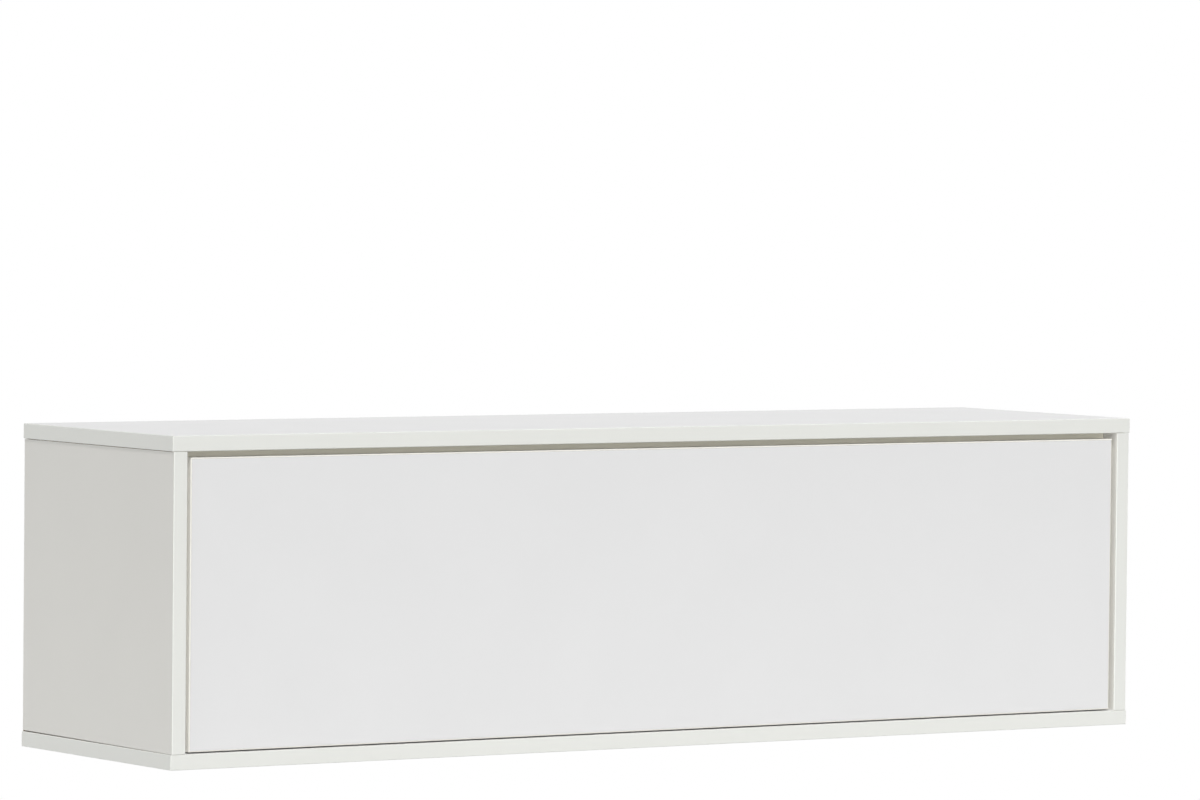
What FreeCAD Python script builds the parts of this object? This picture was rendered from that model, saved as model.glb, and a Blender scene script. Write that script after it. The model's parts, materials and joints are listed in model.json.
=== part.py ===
import FreeCAD, Part
import math
import os
import re
from collections import defaultdict

import Sketcher

# A wall cabinet with one drop-down flap, as a parametric document in millimetres.
# x runs along the cabinet, y from the room to the wall, and z up.
# The origin is on the wall, in the middle of the four wall screws.

# Driving dimensions, kept in the spreadsheet. Angles are in degrees.
SIZES = {
    # boards
    "cabinet_width": 1220.0,
    "cabinet_depth": 315.0,
    "cabinet_height": 340.0,
    "board": 16.0,
    "edging": 1.3,
    "arris": 1.0,
    "back_thickness": 3.0,
    "groove_depth": 6.0,
    "groove_clearance": 0.2,
    "hanging_rail_height": 70.0,
    "wall_screw_spacing": 960.0,
    "wall_screw_hole_radius": 3.0,
    "stop_rail_setback": 25.0,
    "stop_rail_height": 60.0,
    # flap
    "flap_thickness": 16.0,
    "flap_recess": 3.0,
    "side_gap": 5.3,
    "top_gap": 6.5,
    "bottom_gap": 1.5,
    # dowels, cam locks and cam bolts
    "fit_clearance": 0.1,
    "dowel_radius": 4.0,
    "dowel_in_face": 10.0,
    "dowel_in_end": 20.0,
    "cam_radius": 7.5,
    "cam_depth": 12.5,
    "cam_distance": 24.0,
    "cam_cap_radius": 8.6,
    "cam_cap_thickness": 1.0,
    "cam_slot_length": 10.5,
    "cam_slot_width": 1.6,
    "cam_slot_depth": 2.5,
    "bolt_thread_radius": 2.5,
    "bolt_thread_length": 11.0,
    "bolt_shank_radius": 3.0,
    "bolt_neck_radius": 2.0,
    "bolt_head_radius": 3.3,
    "bolt_head_length": 4.0,
    "bolt_neck_length": 5.0,
    "bolt_bore_radius": 4.0,
    "front_cam_inset": 60.0,
    "rear_cam_inset": 75.0,
    "dowel_spacing": 32.0,
    "hanging_rail_fixing_offset": 16.0,
    "stop_rail_bolt_drop": 42.0,
    "stop_rail_dowel_drop": 18.0,
    # screws
    "screw_head_radius": 3.4,
    "screw_head_height": 1.8,
    "screw_radius": 1.7,
    "screw_length": 12.0,
    "recess_span": 4.0,
    "recess_width": 1.0,
    "recess_depth": 1.2,
    "arm_screw_head_radius": 4.5,
    "arm_screw_head_height": 2.5,
    "arm_screw_radius": 2.9,
    "arm_screw_length": 6.5,
    # cup hinges
    "hinge_end_distance": 140.0,
    "swing_clearance": 0.1,
    "pivot_depth": 8.0,
    "pin_radius": 1.5,
    "pin_length": 22.0,
    "running_clearance": 0.05,
    "press_clearance": 0.02,
    "eye_radius": 3.2,
    "cup_diameter": 35.0,
    "cup_depth": 12.5,
    "cup_offset": 4.0,
    "cup_wall": 1.8,
    "cup_floor": 0.8,
    "cup_rim": 1.5,
    "cup_rim_overlap": 1.5,
    "cup_wing_width": 60.0,
    "cup_wing_height": 15.0,
    "cup_wing_rise": 6.0,
    "cup_screw_spacing": 46.0,
    "lug_gap": 0.4,
    "lug_width": 3.6,
    "arm_width": 14.0,
    "arm_thickness": 2.5,
    "arm_clearance": 1.2,
    "arm_bend": 1.0,
    "foot_length": 42.0,
    "plate_height": 5.0,
    "plate_wing_width": 46.0,
    "plate_wing_length": 14.0,
    "plate_wing_thickness": 2.0,
    "plate_screw_spacing": 32.0,
    # brake stays
    "stay_standoff": 14.0,
    "stay_height": 105.0,
    "swivel_angle": 45.0,
    "stay_base_thickness": 2.5,
    "stay_base_margin": 2.0,
    "stay_base_height": 22.0,
    "swivel_gap": 0.4,
    "stud_radius": 4.0,
    "stud_depth": 5.0,
    "block_width": 20.0,
    "block_height": 22.0,
    "block_length": 36.0,
    "block_rounding": 4.0,
    "rod_radius": 3.0,
    "rod_clearance": 0.25,
    "rod_eye_radius": 6.0,
    "rod_eye_width": 8.0,
    "stop_radius": 6.0,
    "stop_length": 8.0,
    "stop_gap": 0.3,
    "brake_screw_radius": 3.0,
    "brake_screw_head_radius": 5.5,
    "brake_screw_head_height": 4.0,
    "brake_slot_width": 1.2,
    "brake_slot_depth": 1.5,
    "bracket_thickness": 2.0,
    "bracket_height": 40.0,
    "bracket_screw_spacing": 28.0,
    "ear_gap": 0.3,
    "ear_radius": 5.0,
    "stay_pin_radius": 2.0,
    "stay_pin_overhang": 1.0,
    # push latches
    "latch_drop": 32.0,
    "latch_radius": 6.0,
    "latch_length": 48.0,
    "latch_end_wall": 3.0,
    "latch_flange_radius": 9.0,
    "latch_flange": 2.0,
    "plunger_radius": 4.0,
    "plunger_clearance": 0.1,
    "plunger_length": 36.0,
    "magnet_radius": 3.0,
    "magnet_length": 3.0,
    "strike_width": 16.0,
    "strike_height": 36.0,
    "strike_thickness": 1.2,
    "strike_screw_spacing": 24.0,
    "strike_gap": 0.3,
}

# Sizes and places worked out from the driving dimensions.
PLACES = {
    "half_height": "cabinet_height / 2",
    "ceiling_z": "half_height - board",
    "floor_z": "board - half_height",
    "inner_height": "ceiling_z - floor_z",
    "front_y": "-cabinet_depth",
    "core_front_y": "front_y + edging",
    "outer_x": "cabinet_width / 2 - edging",
    "inner_x": "outer_x - board",
    "side_mid_x": "outer_x - board / 2",
    "back_y": "-board",
    "back_front_y": "back_y - back_thickness",
    "upper_rail_z": "ceiling_z - hanging_rail_height / 2",
    "lower_rail_z": "floor_z + hanging_rail_height / 2",
    "wall_screw_x": "wall_screw_spacing / 2",
    "rail_front_y": "front_y + stop_rail_setback",
    "rail_back_y": "rail_front_y + board",
    "rail_mid_y": "rail_front_y + board / 2",
    "front_cam_y": "front_y + front_cam_inset",
    "rear_cam_y": "-rear_cam_inset",
    "front_dowel_y": "front_cam_y + dowel_spacing",
    "rear_dowel_y": "rear_cam_y - dowel_spacing",
    "flap_front_y": "front_y + flap_recess",
    "flap_back_y": "flap_front_y + flap_thickness",
    "flap_mid_y": "flap_front_y + flap_thickness / 2",
    "flap_half_width": "inner_x - side_gap",
    "flap_bottom_z": "floor_z + bottom_gap",
    "flap_top_z": "ceiling_z - top_gap",
    "flap_mid_z": "(flap_bottom_z + flap_top_z) / 2",
    "flap_height": "flap_top_z - flap_bottom_z",
    # the pin is high enough for the flap's lower front edge to swing clear of the bottom panel
    "pivot_front": "flap_thickness - pivot_depth",
    "swing_dip": "bottom_gap - swing_clearance",
    "pivot_rise": "(pivot_front ^ 2 - swing_dip ^ 2) / (2 * swing_dip)",
    "pivot_y": "flap_back_y - pivot_depth",
    "pivot_z": "flap_bottom_z + pivot_rise",
    "hinge_spacing": "2 * (inner_x - hinge_end_distance) / 3",
    "cup_z": "pivot_z + cup_offset",
    "cup_radius": "cup_diameter / 2",
    "cup_floor_y": "flap_back_y - cup_depth",
    "rim_y": "flap_back_y + cup_rim",
    "wing_z": "cup_z + cup_wing_rise",
    "lug_x": "arm_width / 2 + lug_gap + lug_width / 2",
    # the arm's bridge passes over the open flap, and its leg stands behind the flap's swinging edge
    "bridge_rise": "pivot_depth + cup_rim + arm_clearance",
    "arm_reach": "sqrt(pivot_depth ^ 2 + pivot_rise ^ 2) + arm_clearance",
    "foot_rise": "floor_z + plate_height - pivot_z",
    "foot_y": "pivot_y + arm_reach + foot_length / 2",
    "wing_top_z": "floor_z + plate_wing_thickness",
    "plate_top_z": "floor_z + plate_height",
    # the stay swivels at the same distance from the pivot as its pin on the flap,
    # so that the brake block turns by half the flap's angle
    "stay_x": "inner_x - stay_base_thickness - swivel_gap - block_width / 2",
    "block_diagonal": "sqrt(block_length ^ 2 + block_height ^ 2)",
    "stay_base_screw_spacing": "block_diagonal + 2 * (screw_head_radius + swivel_gap)",
    "stay_base_length": "stay_base_screw_spacing + 2 * (screw_head_radius + stay_base_margin)",
    "stay_pin_y": "flap_back_y + stay_standoff",
    "stay_pin_z": "pivot_z + stay_height",
    "stay_arm": "pivot_depth + stay_standoff",
    "stay_radius": "sqrt(stay_arm ^ 2 + stay_height ^ 2)",
    "swivel_y": "pivot_y + stay_radius * sin(swivel_angle * 1deg)",
    "swivel_z": "pivot_z + stay_radius * cos(swivel_angle * 1deg)",
    "stay_run": "swivel_y - stay_pin_y",
    "stay_drop": "stay_pin_z - swivel_z",
    "stay_fall": "atan(stay_drop / stay_run)",
    "open_run": "swivel_y - pivot_y + stay_height",
    "open_rise": "swivel_z - pivot_z - stay_arm",
    "stay_open": "sqrt(open_run ^ 2 + open_rise ^ 2)",
    "stop_start": "stay_open + block_length / 2 + stop_gap",
    "rod_length": "stop_start + stop_length",
    "ear_x": "rod_eye_width / 2 + ear_gap + bracket_thickness / 2",
    "bracket_width": "2 * (ear_x + bracket_thickness / 2)",
    "stay_pin_length": "bracket_width + 2 * stay_pin_overhang",
    # each push latch is in the middle of its compartment
    "latch_x": "(inner_x + board / 2) / 2",
    "latch_z": "ceiling_z - latch_drop",
    "strike_y": "flap_back_y + strike_thickness",
    "tip_y": "strike_y + strike_gap",
    "latch_bore_length": "latch_flange + latch_length - latch_end_wall",
}

# Left and right pieces differ by the sign of x and by the way out of the cabinet.
SIDES = {"left": ("-1", "-x"), "right": ("1", "+x")}

# The turn that points a cylinder, drawn along +z, each way.
TURNS = {
    "+x": ((0, 1, 0), 90),
    "-x": ((0, -1, 0), 90),
    "+y": ((-1, 0, 0), 90),
    "-y": ((1, 0, 0), 90),
    "+z": ((0, 0, 1), 0),
    "-z": ((1, 0, 0), 180),
}

doc = FreeCAD.newDocument("wall_cabinet")
nodes = []
bores = defaultdict(list)
joinery = defaultdict(list)


# Binding


def formula(text):
    """A formula with each named size pointed at the spreadsheet or at the derived values."""

    def source(match):
        word = match.group(0)
        if word in SIZES:
            return "Sizes." + word
        if word in PLACES:
            return "Places." + word
        return word

    return re.sub(r"[a-z][a-z_]*", source, text)


def bind(thing, prop, text):
    thing.setExpression(prop, formula(text))


def place(thing, point):
    for axis, text in zip("xyz", point):
        bind(thing, "Placement.Base." + axis, text)


def make_sheet():
    sheet = doc.addObject("Spreadsheet::Sheet", "Sizes")
    for row, (alias, value) in enumerate(SIZES.items(), start=1):
        sheet.set("A%d" % row, alias)
        sheet.set("B%d" % row, str(value))
        sheet.setAlias("B%d" % row, alias)
    doc.recompute()
    places = doc.addObject("App::VarSet", "Places")
    for name in PLACES:
        places.addProperty("App::PropertyFloat", name)
    for name, text in PLACES.items():
        bind(places, name, text)
    doc.recompute()


# Points and directions, written as formulas


def opposite(way):
    return ("-" if way[0] == "+" else "+") + way[1]


def moved(point, way, distance):
    """The point moved along an axis by a formula's distance."""
    index = "xyz".index(way[1])
    there = list(point)
    there[index] = "%s %s (%s)" % (point[index], way[0], distance)
    return tuple(there)


# Primitives and booleans


def box(name, centre, size):
    thing = doc.addObject("Part::Box", name)
    for prop, text in zip(("Length", "Width", "Height"), size):
        bind(thing, prop, text)
    place(thing, ["%s - (%s) / 2" % (at, text) for at, text in zip(centre, size)])
    return thing


def turned(thing, way):
    axis, angle = TURNS[way]
    thing.Placement.Rotation = FreeCAD.Rotation(FreeCAD.Vector(*axis), angle)


def cylinder(name, start, way, radius, length):
    thing = doc.addObject("Part::Cylinder", name)
    turned(thing, way)
    bind(thing, "Radius", radius)
    bind(thing, "Height", length)
    place(thing, start)
    return thing


def centred_cylinder(name, centre, way, radius, length):
    return cylinder(name, moved(centre, opposite(way), "(%s) / 2" % length), way, radius, length)


def fuse(name, things):
    thing = doc.addObject("Part::MultiFuse", name)
    thing.Shapes = things
    return thing


def group(name, things):
    thing = doc.addObject("Part::Compound", name)
    thing.Links = things
    return thing


def cut(name, base, tools):
    thing = doc.addObject("Part::Cut", name)
    thing.Base = base
    thing.Tool = tools[0] if len(tools) == 1 else group(name + "_tools", tools)
    return thing


def node(thing):
    nodes.append(thing)
    return thing


def drill(board, start, way, radius, depth):
    """Note a round hole in a board: it is cut when the board is made."""
    bores[board].append(cylinder(board + "_bore", start, way, radius, depth))


def drilled_board(name, centre, size):
    return node(cut(name, box(name + "_blank", centre, size), bores[name]))


# Sketched bodies


def sketch_on(body, role, name):
    sketch = body.newObject("Sketcher::SketchObject", name)
    plane = [item for item in body.Origin.OriginFeatures if item.Role == role]
    sketch.AttachmentSupport = [(plane[0], "")]
    sketch.MapMode = "FlatFace"
    return sketch


def pin_down(sketch, item, spot, point):
    """Hold one point of a sketch at formulas for its distances from the sketch's origin."""
    for kind, text in zip(("DistanceX", "DistanceY"), point):
        index = sketch.addConstraint(Sketcher.Constraint(kind, -1, 1, item, spot, 0.0))
        bind(sketch, "Constraints[%d]" % index, text)


def outline(sketch, points):
    """A closed outline of straight lines through points written as formulas."""
    count = len(points)
    turns = [2 * math.pi * index / count for index in range(count + 1)]
    corners = [FreeCAD.Vector(math.cos(turn), math.sin(turn), 0) for turn in turns]
    for start, end in zip(corners, corners[1:]):
        sketch.addGeometry(Part.LineSegment(start, end), False)
    for index in range(count):
        sketch.addConstraint(Sketcher.Constraint("Coincident", index, 2, (index + 1) % count, 1))
    for index, point in enumerate(points):
        pin_down(sketch, index, 1, point)


def ring(sketch, centre, radius):
    item = sketch.addGeometry(Part.Circle(), False)
    pin_down(sketch, item, 3, centre)
    index = sketch.addConstraint(Sketcher.Constraint("Radius", item, 1.0))
    bind(sketch, "Constraints[%d]" % index, radius)


def pad(body, sketch, length):
    feature = body.newObject("PartDesign::Pad", sketch.Label + "_pad")
    feature.Profile = sketch
    feature.Midplane = True
    bind(feature, "Length", length)
    return feature


def pocket(body, sketch):
    feature = body.newObject("PartDesign::Pocket", sketch.Label + "_pocket")
    feature.Profile = sketch
    feature.Midplane = True
    feature.Type = "ThroughAll"
    return feature


def rounded(body, feature, radius, wanted):
    """Fillet the edges of a feature that the test wants."""
    doc.recompute()
    names = []
    for index, edge in enumerate(feature.Shape.Edges, start=1):
        if wanted(edge, feature.Shape.BoundBox):
            names.append("Edge%d" % index)
    fillet = body.newObject("PartDesign::Fillet", feature.Label + "_rounding")
    fillet.Base = (feature, names)
    bind(fillet, "Radius", radius)
    return fillet


def runs_along(edge, axis):
    start, end = (getattr(vertex.Point, axis) for vertex in (edge.Vertexes[0], edge.Vertexes[-1]))
    return math.isclose(abs(start - end), edge.Length, rel_tol=1e-6)


def at_end(edge, bounds, way):
    limit = getattr(bounds, way[1].upper() + ("Max" if way[0] == "+" else "Min"))
    return math.isclose(getattr(edge.CenterOfMass, way[1]), limit, abs_tol=1e-6)


def edging_strip(name, centre, size, run, outer, round_ends=False):
    """A glued strip of edging, rounded along its outer face."""
    body = doc.addObject("PartDesign::Body", name)
    sketch = sketch_on(body, "XY_Plane", name + "_outline")
    half_x, half_y = "(%s) / 2" % size[0], "(%s) / 2" % size[1]
    corners = [(-1, -1), (1, -1), (1, 1), (-1, 1)]
    outline(sketch, [("%d * %s" % (x, half_x), "%d * %s" % (y, half_y)) for x, y in corners])
    feature = pad(body, sketch, size[2])

    def wanted(edge, bounds):
        return at_end(edge, bounds, outer) and (round_ends or runs_along(edge, run))

    rounded(body, feature, "arris", wanted)
    place(body, centre)
    return body


# Joinery


def dowel_joint(end_board, face_board, point, way):
    """A dowel from the end of one board into the face of another, which lies that way."""
    start = moved(point, opposite(way), "dowel_in_end")
    dowel = cylinder("dowel", start, way, "dowel_radius", "dowel_in_end + dowel_in_face")
    joinery["dowels"].append(dowel)
    hole = "dowel_radius + fit_clearance"
    drill(end_board, point, opposite(way), hole, "dowel_in_end + fit_clearance")
    drill(face_board, point, way, hole, "dowel_in_face + fit_clearance")


def cam_bolt(point, way):
    """A bolt that is screwed into one board and ends in the cam lock of the other."""
    back = opposite(way)
    shank = "cam_distance - bolt_neck_length"
    parts = [
        cylinder("bolt_thread", point, way, "bolt_thread_radius", "bolt_thread_length"),
        cylinder("bolt_shank", point, back, "bolt_shank_radius", shank),
        cylinder("bolt_neck", point, back, "bolt_neck_radius", "cam_distance"),
        centred_cylinder(
            "bolt_head", moved(point, back, "cam_distance"), back, "bolt_head_radius", "bolt_head_length"
        ),
    ]
    return fuse("cam_bolt", parts)


def cam_lock(centre, face, way):
    """The round lock, let into a board's face, with the bolt's hole and a screwdriver slot."""
    inward = opposite(face)
    body = cylinder("cam_body", centre, inward, "cam_radius", "cam_depth")
    on_bolt = moved(centre, inward, "board / 2")
    rim = moved(on_bolt, way, "cam_radius")
    hole = cylinder("cam_hole", rim, opposite(way), "bolt_bore_radius", "cam_radius + bolt_head_length")
    slot_size = {axis: "cam_slot_width" for axis in "xyz"}
    slot_size[face[1]] = "2 * cam_slot_depth"
    slot_size[[axis for axis in "xyz" if axis not in (face[1], way[1])][0]] = "cam_slot_length"
    slot = box("cam_slot", centre, [slot_size[axis] for axis in "xyz"])
    return cut("cam_lock", body, [hole, slot])


def cam_joint(end_board, face_board, point, way, face, capped):
    """A cam lock in the end board, under its given face, that draws in the face board."""
    joinery["cam_bolts"].append(cam_bolt(point, way))
    centre = moved(moved(point, opposite(way), "cam_distance"), face, "board / 2")
    joinery["cam_locks"].append(cam_lock(centre, face, way))
    if capped:
        cap = cylinder("cam_cap", centre, face, "cam_cap_radius", "cam_cap_thickness")
        joinery["cam_caps"].append(cap)
    drill(face_board, point, way, "bolt_thread_radius + fit_clearance", "bolt_thread_length + fit_clearance")
    drill(end_board, point, opposite(way), "bolt_bore_radius", "cam_distance")
    pocket_depth = "cam_depth + fit_clearance"
    drill(end_board, centre, opposite(face), "cam_radius + fit_clearance", pocket_depth)


def join_boards():
    for side, (sign, outward) in SIDES.items():
        board = side + "_side"
        mid_x = sign + " * side_mid_x"
        end_x = sign + " * inner_x"
        for panel, way, joint_z in (("top_panel", "+z", "ceiling_z"), ("bottom_panel", "-z", "floor_z")):
            for cam_y, dowel_y in (("front_cam_y", "front_dowel_y"), ("rear_cam_y", "rear_dowel_y")):
                cam_joint(board, panel, (mid_x, cam_y, joint_z), way, opposite(outward), True)
                dowel_joint(board, panel, (mid_x, dowel_y, joint_z), way)
        for rail in ("upper_hanging_rail", "lower_hanging_rail"):
            middle_z = rail.split("_")[0] + "_rail_z"
            joint = (end_x, "-board / 2", middle_z)
            bolt_joint = moved(joint, "+z", "hanging_rail_fixing_offset")
            cam_joint(rail, board, bolt_joint, outward, "+y", False)
            dowel_joint(rail, board, moved(joint, "-z", "hanging_rail_fixing_offset"), outward)
        joint = (end_x, "rail_mid_y", "ceiling_z")
        cam_joint("stop_rail", board, moved(joint, "-z", "stop_rail_bolt_drop"), outward, "+y", False)
        dowel_joint("stop_rail", board, moved(joint, "-z", "stop_rail_dowel_drop"), outward)
    for panel, way, joint_z in (("top_panel", "+z", "ceiling_z"), ("bottom_panel", "-z", "floor_z")):
        for dowel_y in ("front_dowel_y", "rear_dowel_y"):
            dowel_joint("centre_divider", panel, ("0", dowel_y, joint_z), way)
    for name, pieces in joinery.items():
        node(group(name, pieces))


# Screws


def screw_form(name, head_radius, head_height, radius, length):
    """A screw with its head's underside at the origin, and its head up, with a cross recess in it."""
    origin = ("0", "0", "0")
    head = cylinder(name + "_head", origin, "+z", head_radius, head_height)
    shank = cylinder(name + "_shank", origin, "-z", radius, length)
    top = ("0", "0", head_height)
    depth = "2 * recess_depth"
    cross = [
        box(name + "_recess_bar", top, ("recess_span", "recess_width", depth)),
        box(name + "_recess_bar", top, ("recess_width", "recess_span", depth)),
    ]
    return cut(name, fuse(name + "_blank", [head, shank]), [fuse(name + "_recess", cross)])


def screws(name, form, spots):
    """Copies of a screw at each spot: the point under its head, and the way that the head faces."""
    copies = []
    for point, way in spots:
        copy = doc.addObject("App::Link", name + "_copy")
        copy.LinkedObject = form
        turned(copy, way)
        place(copy, point)
        copies.append(copy)
    return node(group(name, copies))


def screw_in(board, point, way, surface):
    """Drill a board for a wood screw whose head lies on a fitting of that thickness."""
    start = moved(point, opposite(way), surface)
    depth = "screw_length - (%s) + fit_clearance" % surface
    drill(board, start, opposite(way), "screw_radius + fit_clearance", depth)
    return (point, way)


def screw_hole(name, point, way, thickness):
    """The hole for a screw's shank through a fitting under its head."""
    hole = moved(point, way, "fit_clearance")
    radius = "screw_radius + fit_clearance"
    return cylinder(name, hole, opposite(way), radius, "%s + 2 * fit_clearance" % thickness)


# Cup hinges


def hinge_cup(number, hinge_x):
    """The cup in the flap's back, with a rim, two wings and the lugs that hold the pin."""
    name = "hinge_cup_%d" % number
    mouth = (hinge_x, "flap_back_y", "cup_z")
    rim = (hinge_x, "rim_y", "cup_z")
    shell = [
        cylinder(name + "_barrel", mouth, "-y", "cup_radius", "cup_depth"),
        cylinder(name + "_rim", rim, "-y", "cup_radius + cup_rim_overlap", "cup_rim"),
        box(
            name + "_wings",
            (hinge_x, "flap_back_y + cup_rim / 2", "wing_z"),
            ("cup_wing_width", "cup_rim", "cup_wing_height"),
        ),
    ]
    hollow_depth = "cup_depth + cup_rim - cup_floor"
    hollow = cylinder(name + "_hollow", rim, "-y", "cup_radius - cup_wall", hollow_depth)
    lugs = []
    for sign in ("-1", "1"):
        lug_depth = "eye_radius + pivot_y - cup_floor_y"
        middle_y = "(pivot_y + eye_radius + cup_floor_y) / 2"
        middle = (hinge_x + " + " + sign + " * lug_x", middle_y, "pivot_z")
        lugs.append(box(name + "_lug", middle, ("lug_width", lug_depth, "2 * eye_radius")))
    body = fuse(name + "_body", [cut(name + "_shell", fuse(name + "_solid", shell), [hollow])] + lugs)
    pivot = (hinge_x, "pivot_y", "pivot_z")
    holes = [
        centred_cylinder(name + "_pin_hole", pivot, "+x", "pin_radius + press_clearance", "pin_length")
    ]
    spots = []
    for way in ("-x", "+x"):
        point = moved((hinge_x, "rim_y", "wing_z"), way, "cup_screw_spacing / 2")
        spots.append(screw_in("flap_panel", point, "+y", "cup_rim"))
        holes.append(screw_hole(name + "_screw_hole", point, "+y", "cup_rim"))
    node(cut(name, body, holes))
    drill("flap_panel", mouth, "-y", "cup_radius + fit_clearance", "cup_depth + fit_clearance")
    return spots


def hinge_arm(number, hinge_x):
    """The cranked arm: an eye on the pin, a neck, a bridge over the flap's edge, a leg and a foot."""
    name = "hinge_arm_%d" % number
    body = doc.addObject("PartDesign::Body", name)
    strip = sketch_on(body, "YZ_Plane", name + "_strip")
    outline(
        strip,
        [
            ("-arm_thickness / 2", "0"),
            ("-arm_thickness / 2", "bridge_rise + arm_thickness"),
            ("arm_reach + arm_thickness", "bridge_rise + arm_thickness"),
            ("arm_reach + arm_thickness", "foot_rise + arm_thickness"),
            ("arm_reach + foot_length", "foot_rise + arm_thickness"),
            ("arm_reach + foot_length", "foot_rise"),
            ("arm_reach", "foot_rise"),
            ("arm_reach", "bridge_rise"),
            ("arm_thickness / 2", "bridge_rise"),
            ("arm_thickness / 2", "0"),
        ],
    )
    bent = pad(body, strip, "arm_width")

    def at_bend(edge, bounds):
        inside = bounds.YMin < edge.CenterOfMass.y < bounds.YMax
        return runs_along(edge, "x") and (inside or at_end(edge, bounds, "+z"))

    def at_neck_top_or_leg(edge, bounds):
        low_neck = math.isclose(edge.CenterOfMass.z, 0.0, abs_tol=1e-6)
        return at_bend(edge, bounds) and not low_neck

    rounded(body, bent, "arm_bend", at_neck_top_or_leg)
    eye = sketch_on(body, "YZ_Plane", name + "_eye")
    ring(eye, ("0", "0"), "eye_radius")
    pad(body, eye, "arm_width")
    hole = sketch_on(body, "YZ_Plane", name + "_pin_hole")
    ring(hole, ("0", "0"), "pin_radius + running_clearance")
    pocket(body, hole)
    screw = sketch_on(body, "XY_Plane", name + "_screw_hole")
    ring(screw, ("0", "arm_reach + foot_length / 2"), "arm_screw_radius + fit_clearance")
    pocket(body, screw)
    place(body, (hinge_x, "pivot_y", "pivot_z"))
    node(body)


def hinge_plate(number, hinge_x):
    """The mounting plate on the bottom panel, with two screwed wings."""
    name = "hinge_plate_%d" % number
    middle_z = "floor_z + plate_height / 2"
    rib = box(name + "_rib", (hinge_x, "foot_y", middle_z), ("arm_width", "foot_length", "plate_height"))
    wings = box(
        name + "_wings",
        (hinge_x, "foot_y", "floor_z + plate_wing_thickness / 2"),
        ("plate_wing_width", "plate_wing_length", "plate_wing_thickness"),
    )
    top = (hinge_x, "foot_y", "plate_top_z")
    holes = [cylinder(name + "_thread", top, "-z", "arm_screw_radius + fit_clearance", "plate_height")]
    spots = []
    for way in ("-x", "+x"):
        point = moved((hinge_x, "foot_y", "wing_top_z"), way, "plate_screw_spacing / 2")
        spots.append(screw_in("bottom_panel", point, "+z", "plate_wing_thickness"))
        holes.append(screw_hole(name + "_screw_hole", point, "+z", "plate_wing_thickness"))
    node(cut(name, fuse(name + "_body", [rib, wings]), holes))
    return spots


def hang_flap(wood_screw):
    arm_screw = screw_form(
        "arm_screw_form",
        "arm_screw_head_radius",
        "arm_screw_head_height",
        "arm_screw_radius",
        "arm_screw_length",
    )
    cup_spots, plate_spots, arm_spots, pins = [], [], [], []
    for number, half_spacings in enumerate((-3, -1, 1, 3), start=1):
        hinge_x = "%d * hinge_spacing / 2" % half_spacings
        cup_spots += hinge_cup(number, hinge_x)
        hinge_arm(number, hinge_x)
        plate_spots += hinge_plate(number, hinge_x)
        arm_spots.append(((hinge_x, "foot_y", "plate_top_z + arm_thickness"), "+z"))
        pivot = (hinge_x, "pivot_y", "pivot_z")
        pins.append(centred_cylinder("hinge_pin", pivot, "+x", "pin_radius", "pin_length"))
    node(group("hinge_pins", pins))
    screws("hinge_cup_screws", wood_screw, cup_spots)
    screws("hinge_plate_screws", wood_screw, plate_spots)
    screws("hinge_arm_screws", arm_screw, arm_spots)


# Brake stays


def lean(thing, point):
    """Move a piece drawn along +y to a point on the stay, and tip it down to the stay's slope."""
    thing.Placement.Rotation = FreeCAD.Rotation(FreeCAD.Vector(-1, 0, 0), 1)
    bind(thing, "Placement.Rotation.Angle", "stay_fall * 1deg")
    place(thing, point)
    return node(thing)


def stay_base(side, sign, outward):
    """The plate on the side panel, with the stud that the brake block swivels on."""
    name = "stay_base_" + side
    face_x = sign + " * (inner_x - stay_base_thickness)"
    middle = (sign + " * (inner_x - stay_base_thickness / 2)", "swivel_y", "swivel_z")
    plate = box(name + "_plate", middle, ("stay_base_thickness", "stay_base_length", "stay_base_height"))
    stud_start = (sign + " * inner_x", "swivel_y", "swivel_z")
    stud_length = "stay_base_thickness + swivel_gap + stud_depth"
    stud = cylinder(name + "_stud", stud_start, opposite(outward), "stud_radius", stud_length)
    spots, holes = [], []
    for way in ("-y", "+y"):
        point = moved((face_x, "swivel_y", "swivel_z"), way, "stay_base_screw_spacing / 2")
        spots.append(screw_in(side + "_side", point, opposite(outward), "stay_base_thickness"))
        holes.append(screw_hole(name + "_hole", point, opposite(outward), "stay_base_thickness"))
    node(cut(name, fuse(name + "_body", [plate, stud]), holes))
    return spots


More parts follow.
